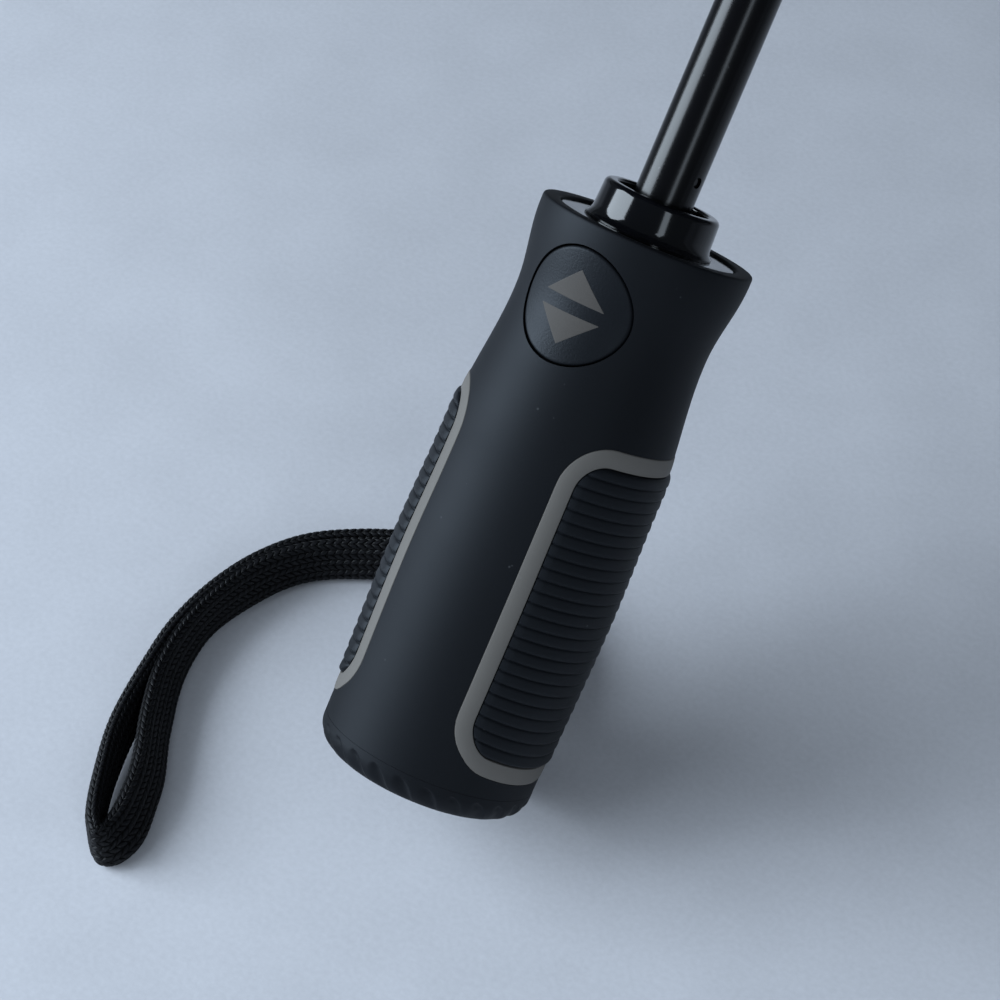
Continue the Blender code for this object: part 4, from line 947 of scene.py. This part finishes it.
def clothMaterial():
    material, tree, shader = newMaterial("pongeeCloth", (0.018, 0.018, 0.021), 0.6, Sheen_Weight=0.2,
                                         Sheen_Roughness=0.5)
    waves = {"Vector": uvSpace(tree, "weave"), "Scale": 310.0, "Distortion": 0.6, "Detail": 1.0}
    warp, weft = [addNode(tree, "ShaderNodeTexWave", waves, bands_direction=way).outputs["Fac"]
                  for way in "XY"]
    weave = combine(tree, "MULTIPLY", warp, weft)
    cloud = noise(tree, objectSpace(tree), 14.0, 5.0)
    feed(tree, shader, {
        "Base Color": mixed(tree, combine(tree, "MULTIPLY", cloud, weave), (0.014, 0.014, 0.017, 1),
                            (0.030, 0.030, 0.034, 1)),
        "Roughness": ranged(tree, cloud, 0, 1, 0.5, 0.66),
        "Normal": bumped(tree, weave, 0.25, 0.00005)})
    return material


def profileTable():
    # The cloth's line over a rib as (run, radius, height, pull, sag), and its run at each station
    spots = splined([Vector((r * mm, h * mm, pull, sag)) for (r, h), pull, sag in
                     zip(canopy["stations"], canopy["pull"], canopy["sag"])], 24)
    runs = [0.0]
    for first, second in zip(spots, spots[1:]):
        runs.append(runs[-1] + math.hypot(second[0] - first[0], second[1] - first[1]))
    return [(run, *spot) for run, spot in zip(runs, spots)], runs[::24]


clothTable, clothMarks = profileTable()
hemRun = clothMarks[-1]


def clothLine(run):
    run = min(max(run, 0), hemRun)
    low, high = 0, len(clothTable) - 1
    while high - low > 1:
        middle = (low + high) // 2
        if clothTable[middle][0] <= run:
            low = middle
        else:
            high = middle
    first, second = clothTable[low], clothTable[high]
    return between(first, second, (run - first[0]) / max(1e-9, second[0] - first[0]))[1:]


def clothPoint(azimuth, sign, run, across):
    # across is 0 on the rib and 1 in the middle of the gore
    radius, height, pull, sag = clothLine(run)
    ahead, back = clothLine(run + 2 * mm), clothLine(run - 2 * mm)
    slope = Vector((back[0] - ahead[0], back[1] - ahead[1])).normalized()
    share = across / 2
    bell = 4 * share * (1 - share)
    chord = math.cos(ribSet["turn"] / 2) / math.cos(ribSet["turn"] * (share - 0.5))
    drawn = canopy["scallop"] * pull * bell
    ripple = canopy["ripple"] * pull * math.sin(math.pi * 6 * across) * across * (1 - across) * 4
    height += slope[1] * drawn - canopy["hang"] * sag * bell + ripple
    return polar((radius + slope[0] * drawn) * chord, azimuth + sign * ribSet["turn"] * share, height)


def clothNormal(azimuth, sign, run, across):
    step, share = 1.0 * mm, 0.02
    alongRib = clothPoint(azimuth, sign, run + step, across) - clothPoint(azimuth, sign, run - step, across)
    overGore = (clothPoint(azimuth, sign, run, min(1, across + share))
                - clothPoint(azimuth, sign, run, max(0, across - share)))
    normal = alongRib.cross(overGore).normalized()
    return normal if normal.z > 0 else -normal


def clothGrids(azimuth, sign, low, high):
    # Inner and outer points and their places in the weave; without a high the panel ends at the hem
    inner, outer, uvs = [], [], []
    for row in range(canopy["rows"] + 1):
        along = row / canopy["rows"]
        if high is None:
            along = 1 - (1 - along) ** canopy["crowding"]
        line = []
        for column in range(canopy["columns"] + 1):
            across = (column / canopy["columns"]) ** canopy["crowding"]
            widening = 1 + canopy["lean"] * across
            end = hemRun if high is None else high * widening
            run = low * widening + (end - low * widening) * along
            fromRib = across * canopy["halfGore"] * clothLine(run)[0]
            raised = canopy["seamRise"] * (1 - smooth((fromRib - canopy["seam"]) / canopy["slope"]))
            if high is None:
                hemShare = smooth((hemRun - run - canopy["hem"]) / canopy["slope"])
                raised = max(raised, canopy["hemRise"] * (1 - hemShare))
            spot, normal = clothPoint(azimuth, sign, run, across), clothNormal(azimuth, sign, run, across)
            line.append((spot + normal * canopy["clear"],
                         spot + normal * (canopy["clear"] + canopy["thickness"] + raised),
                         (run, sign * fromRib)))
        for grid, part in zip((inner, outer, uvs), zip(*line)):
            grid.append(part)
    return inner, outer, uvs


def clothPanel(index, sign, zone, low, high, keep):
    node = zone.lower() + "_rib_" + str(index + 1)
    rows, columns = canopy["rows"], canopy["columns"]
    inner, outer, uvs = clothGrids(azimuths[index], sign, low, high)
    bm = bmesh.new()
    grids = [[vertRow(bm, points) for points in grid] for grid in (outer, inner)]
    lookup = {vert: uv for grid in grids for row, uvRow in zip(grid, uvs) for vert, uv in zip(row, uvRow)}
    blockFaces(bm, *grids)
    layer = bm.loops.layers.uv.new("weave")
    for face in bm.faces:
        for loop in face.loops:
            loop[layer].uv = lookup[loop.vert]
    name = "cloth" + zone + str(index + 1) + ("a" if sign > 0 else "b")
    mesh = meshOf(bm, name, angle=40, merge=0.0000001)
    area = 0.0
    for first, second in zip(inner, inner[1:]):
        for i in range(columns):
            area += ((first[i + 1] - first[i]).cross(second[i] - first[i]).length
                     + (second[i + 1] - second[i]).cross(second[i + 1] - first[i + 1]).length) / 2
    standsFor = ["canopy"] if index == 0 and zone == "Top" else []
    item = addPiece(name, mesh, "cloth", node + "_body", *standsFor)
    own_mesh(item)
    width = max((row[-1] - row[0]).length for row in inner)
    length = max(sum((b[k] - a[k]).length for a, b in zip(inner, inner[1:])) for k in (0, columns))
    length = max(length, area / width * 1.01)
    return area


def crownSpot(index, share, reach):
    # The cloth over the crown, at a share of the way from one rib to the next
    near = share <= 0.5
    across = 2 * share if near else 2 * (1 - share)
    azimuth = azimuths[index] if near else azimuths[index] + ribSet["turn"]
    return clothPoint(azimuth, 1 if near else -1, reach * (1 + canopy["lean"] * across), across)


def makeCanopy():
    start, elbow, knee = clothMarks[1] + 2 * mm, clothMarks[3], clothMarks[5]
    zones = [("Top", start, elbow, 0.07), ("Middle", elbow, knee, 0.05), ("Outer", knee, None, 0.045)]
    total = sum(clothPanel(index, sign, *zone) for index in range(ribSet["count"])
                for sign in (1, -1) for zone in zones)
    bm = bmesh.new()
    columns, lastRow = canopy["crownColumns"], canopy["crownRows"] - 1
    skins = []
    for layer in (canopy["clear"] + canopy["thickness"] + canopy["hemRise"], canopy["clear"]):
        lifted = Vector((0, 0, layer))
        skins.append([vertRow(bm, [crownSpot(index, column / columns, start * row / lastRow) + lifted
                                   for index in range(ribSet["count"]) for column in range(columns)])
                      for row in range(lastRow + 1)])
    upper, lower = skins
    gridFaces(bm, upper, loop=True)
    gridFaces(bm, lower, flip=True, loop=True)
    gridFaces(bm, [upper[0], lower[0]], loop=True, flip=True)
    gridFaces(bm, [upper[-1], lower[-1]], loop=True)
    layer = bm.loops.layers.uv.new("weave")
    for face in bm.faces:
        for loop in face.loops:
            loop[layer].uv = loop.vert.co.xy
    item = addPiece("clothCrown", meshOf(bm, "clothCrown", angle=40), "cloth", "head", "canopy")
    print("canopy cut, square metres:", round(total, 3))


surfaces["cloth"] = clothMaterial()
makeCanopy()

# ---- the CAD pieces that stay get their finishes
finishOfSlot = {slotName: surfaces[key] for key, slotName in slotOf.items() if key != "mark"}
for row in frame["record"]["subparts"]:
    node = frame["nodes"][row["node"]]
    if not node.hide_render and row["material_slot"] in finishOfSlot:
        node.data.materials.clear()
        node.data.materials.append(finishOfSlot[row["material_slot"]])

# ---- floor and light
stage = {"floor": (0.555, 0.556, 0.590), "size": 14, "drop": 0.2 * mm, "sky": (0.76, 0.88, 1.0),
         "skyStrength": 0.46, "seenSky": (0.44, 0.49, 0.56), "gleam": 0.08, "reflectionShadeDepth": 0.3,
         "lampFoot": (-0.86, -0.71, 0), "target": (0, -0.19, 0.05)}
lamps = [
    # name, direction from the handle, distance, width, height, power, seen in reflections
    ("key", (-0.783, -0.470, 0.407), 1.1, 0.72, 0.74, 15.0, True),
    ("front", (0.740, -0.523, 0.423), 1.4, 0.24, 0.72, 1.7, True),
    ("soft", (-0.50, -0.72, 0.48), 1.1, 0.7, 0.7, 6.5, False),
    ("fill", (0.60, -0.65, 0.46), 1.5, 0.8, 0.8, 3, False),
]


def floorMaterial():
    # Matt photo paper with a fine grain and a faint cloud, painted shade in its reflections, painted light
    # far out and painted shade under the key lamp
    material, tree, shader = newMaterial("backdropPaper", stage["floor"], 0.8, Specular_IOR_Level=0.2)
    calc = partial(combine, tree)
    place = objectSpace(tree)
    grain = noise(tree, place, 900.0, 3.0)
    tone = ranged(tree, calc("ADD", grain, noise(tree, place, 45.0, 4.0)), 0.7, 1.3, 0.95, 1.05)
    # Painted shade in reflections: for glossy rays the table's colour falls into the dark away from the
    # handle
    away = addNode(tree, "ShaderNodeVectorMath", {0: place}, operation="LENGTH").outputs["Value"]
    glossy = addNode(tree, "ShaderNodeLightPath").outputs["Is Glossy Ray"]
    paintedReflectionShade = calc("MULTIPLY", ranged(tree, away, 0.14, 0.42, 0.0, 1 - stage["reflectionShadeDepth"]), glossy)
    level = calc("MULTIPLY", tone, calc("SUBTRACT", 1.0, paintedReflectionShade))
    # Painted light far out and painted shade in the key lamp's pool: the sheet's colour rises away from the
    # handle and falls near the lamp's foot, so that it looks even
    paintedLightFarOut = ranged(tree, away, 0.5, 1.7, 1.0, 1.7)
    toLamp = addNode(tree, "ShaderNodeVectorMath", {0: place, 1: stage["lampFoot"]}, operation="DISTANCE")
    paintedShadeUnderLamp = ranged(tree, toLamp.outputs["Value"], 0.15, 0.82, 0.2, 1.0, interpolation_type="SMOOTHSTEP")
    level = calc("MULTIPLY", level, calc("MULTIPLY", paintedLightFarOut, paintedShadeUnderLamp))
    tint = addNode(tree, "ShaderNodeVectorMath", {0: stage["floor"], "Scale": level}, operation="SCALE")
    feed(tree, shader, {"Base Color": tint.outputs[0], "Normal": bumped(tree, grain, 0.25, 0.0001)})
    return material


def makeFloor():
    bm = bmesh.new()
    bmesh.ops.create_grid(bm, x_segments=1, y_segments=1, size=stage["size"] / 2)
    mesh = meshOf(bm, "floor", local=False, outward=False)
    floor = bpy.data.objects.new("floor", mesh)
    floor.location = (0, 0, -stage["drop"])
    scene.collection.objects.link(floor)
    mesh.materials.append(floorMaterial())


def makeSky():
    sky = bpy.data.worlds.new("studio")
    sky.use_nodes = True
    tree = sky.node_tree
    ambient = tree.nodes["Background"]
    feed(tree, ambient, {"Color": (*stage["sky"], 1), "Strength": stage["skyStrength"]})
    gleam = addNode(tree, "ShaderNodeBackground", {"Color": (*stage["sky"], 1), "Strength": stage["gleam"]})
    seen = addNode(tree, "ShaderNodeBackground", {"Color": (*stage["seenSky"], 1), "Strength": 1.0})
    path = tree.nodes.new("ShaderNodeLightPath").outputs
    shiny = addNode(tree, "ShaderNodeMixShader",
                    {0: path["Is Glossy Ray"], 1: ambient.outputs[0], 2: gleam.outputs[0]})
    mix = addNode(tree, "ShaderNodeMixShader",
                  {0: path["Is Camera Ray"], 1: shiny.outputs[0], 2: seen.outputs[0]})
    feed(tree, tree.nodes["World Output"], {"Surface": mix.outputs[0]})
    scene.world = sky


def makeLamps():
    for name, direction, distance, width, height, power, glossy in lamps:
        lamp = bpy.data.objects.new(name, bpy.data.lights.new(name, "AREA"))
        lamp.data.shape = "RECTANGLE"
        lamp.data.size = width
        lamp.data.size_y = height
        lamp.data.energy = power
        lamp.data.color = stage["sky"]
        lamp.visible_glossy = glossy
        direction = Vector(direction).normalized()
        lamp.location = Vector(stage["target"]) + direction * distance
        lamp.rotation_euler = direction.to_track_quat("Z", "Y").to_euler()
        scene.collection.objects.link(lamp)


makeFloor()
makeSky()
makeLamps()
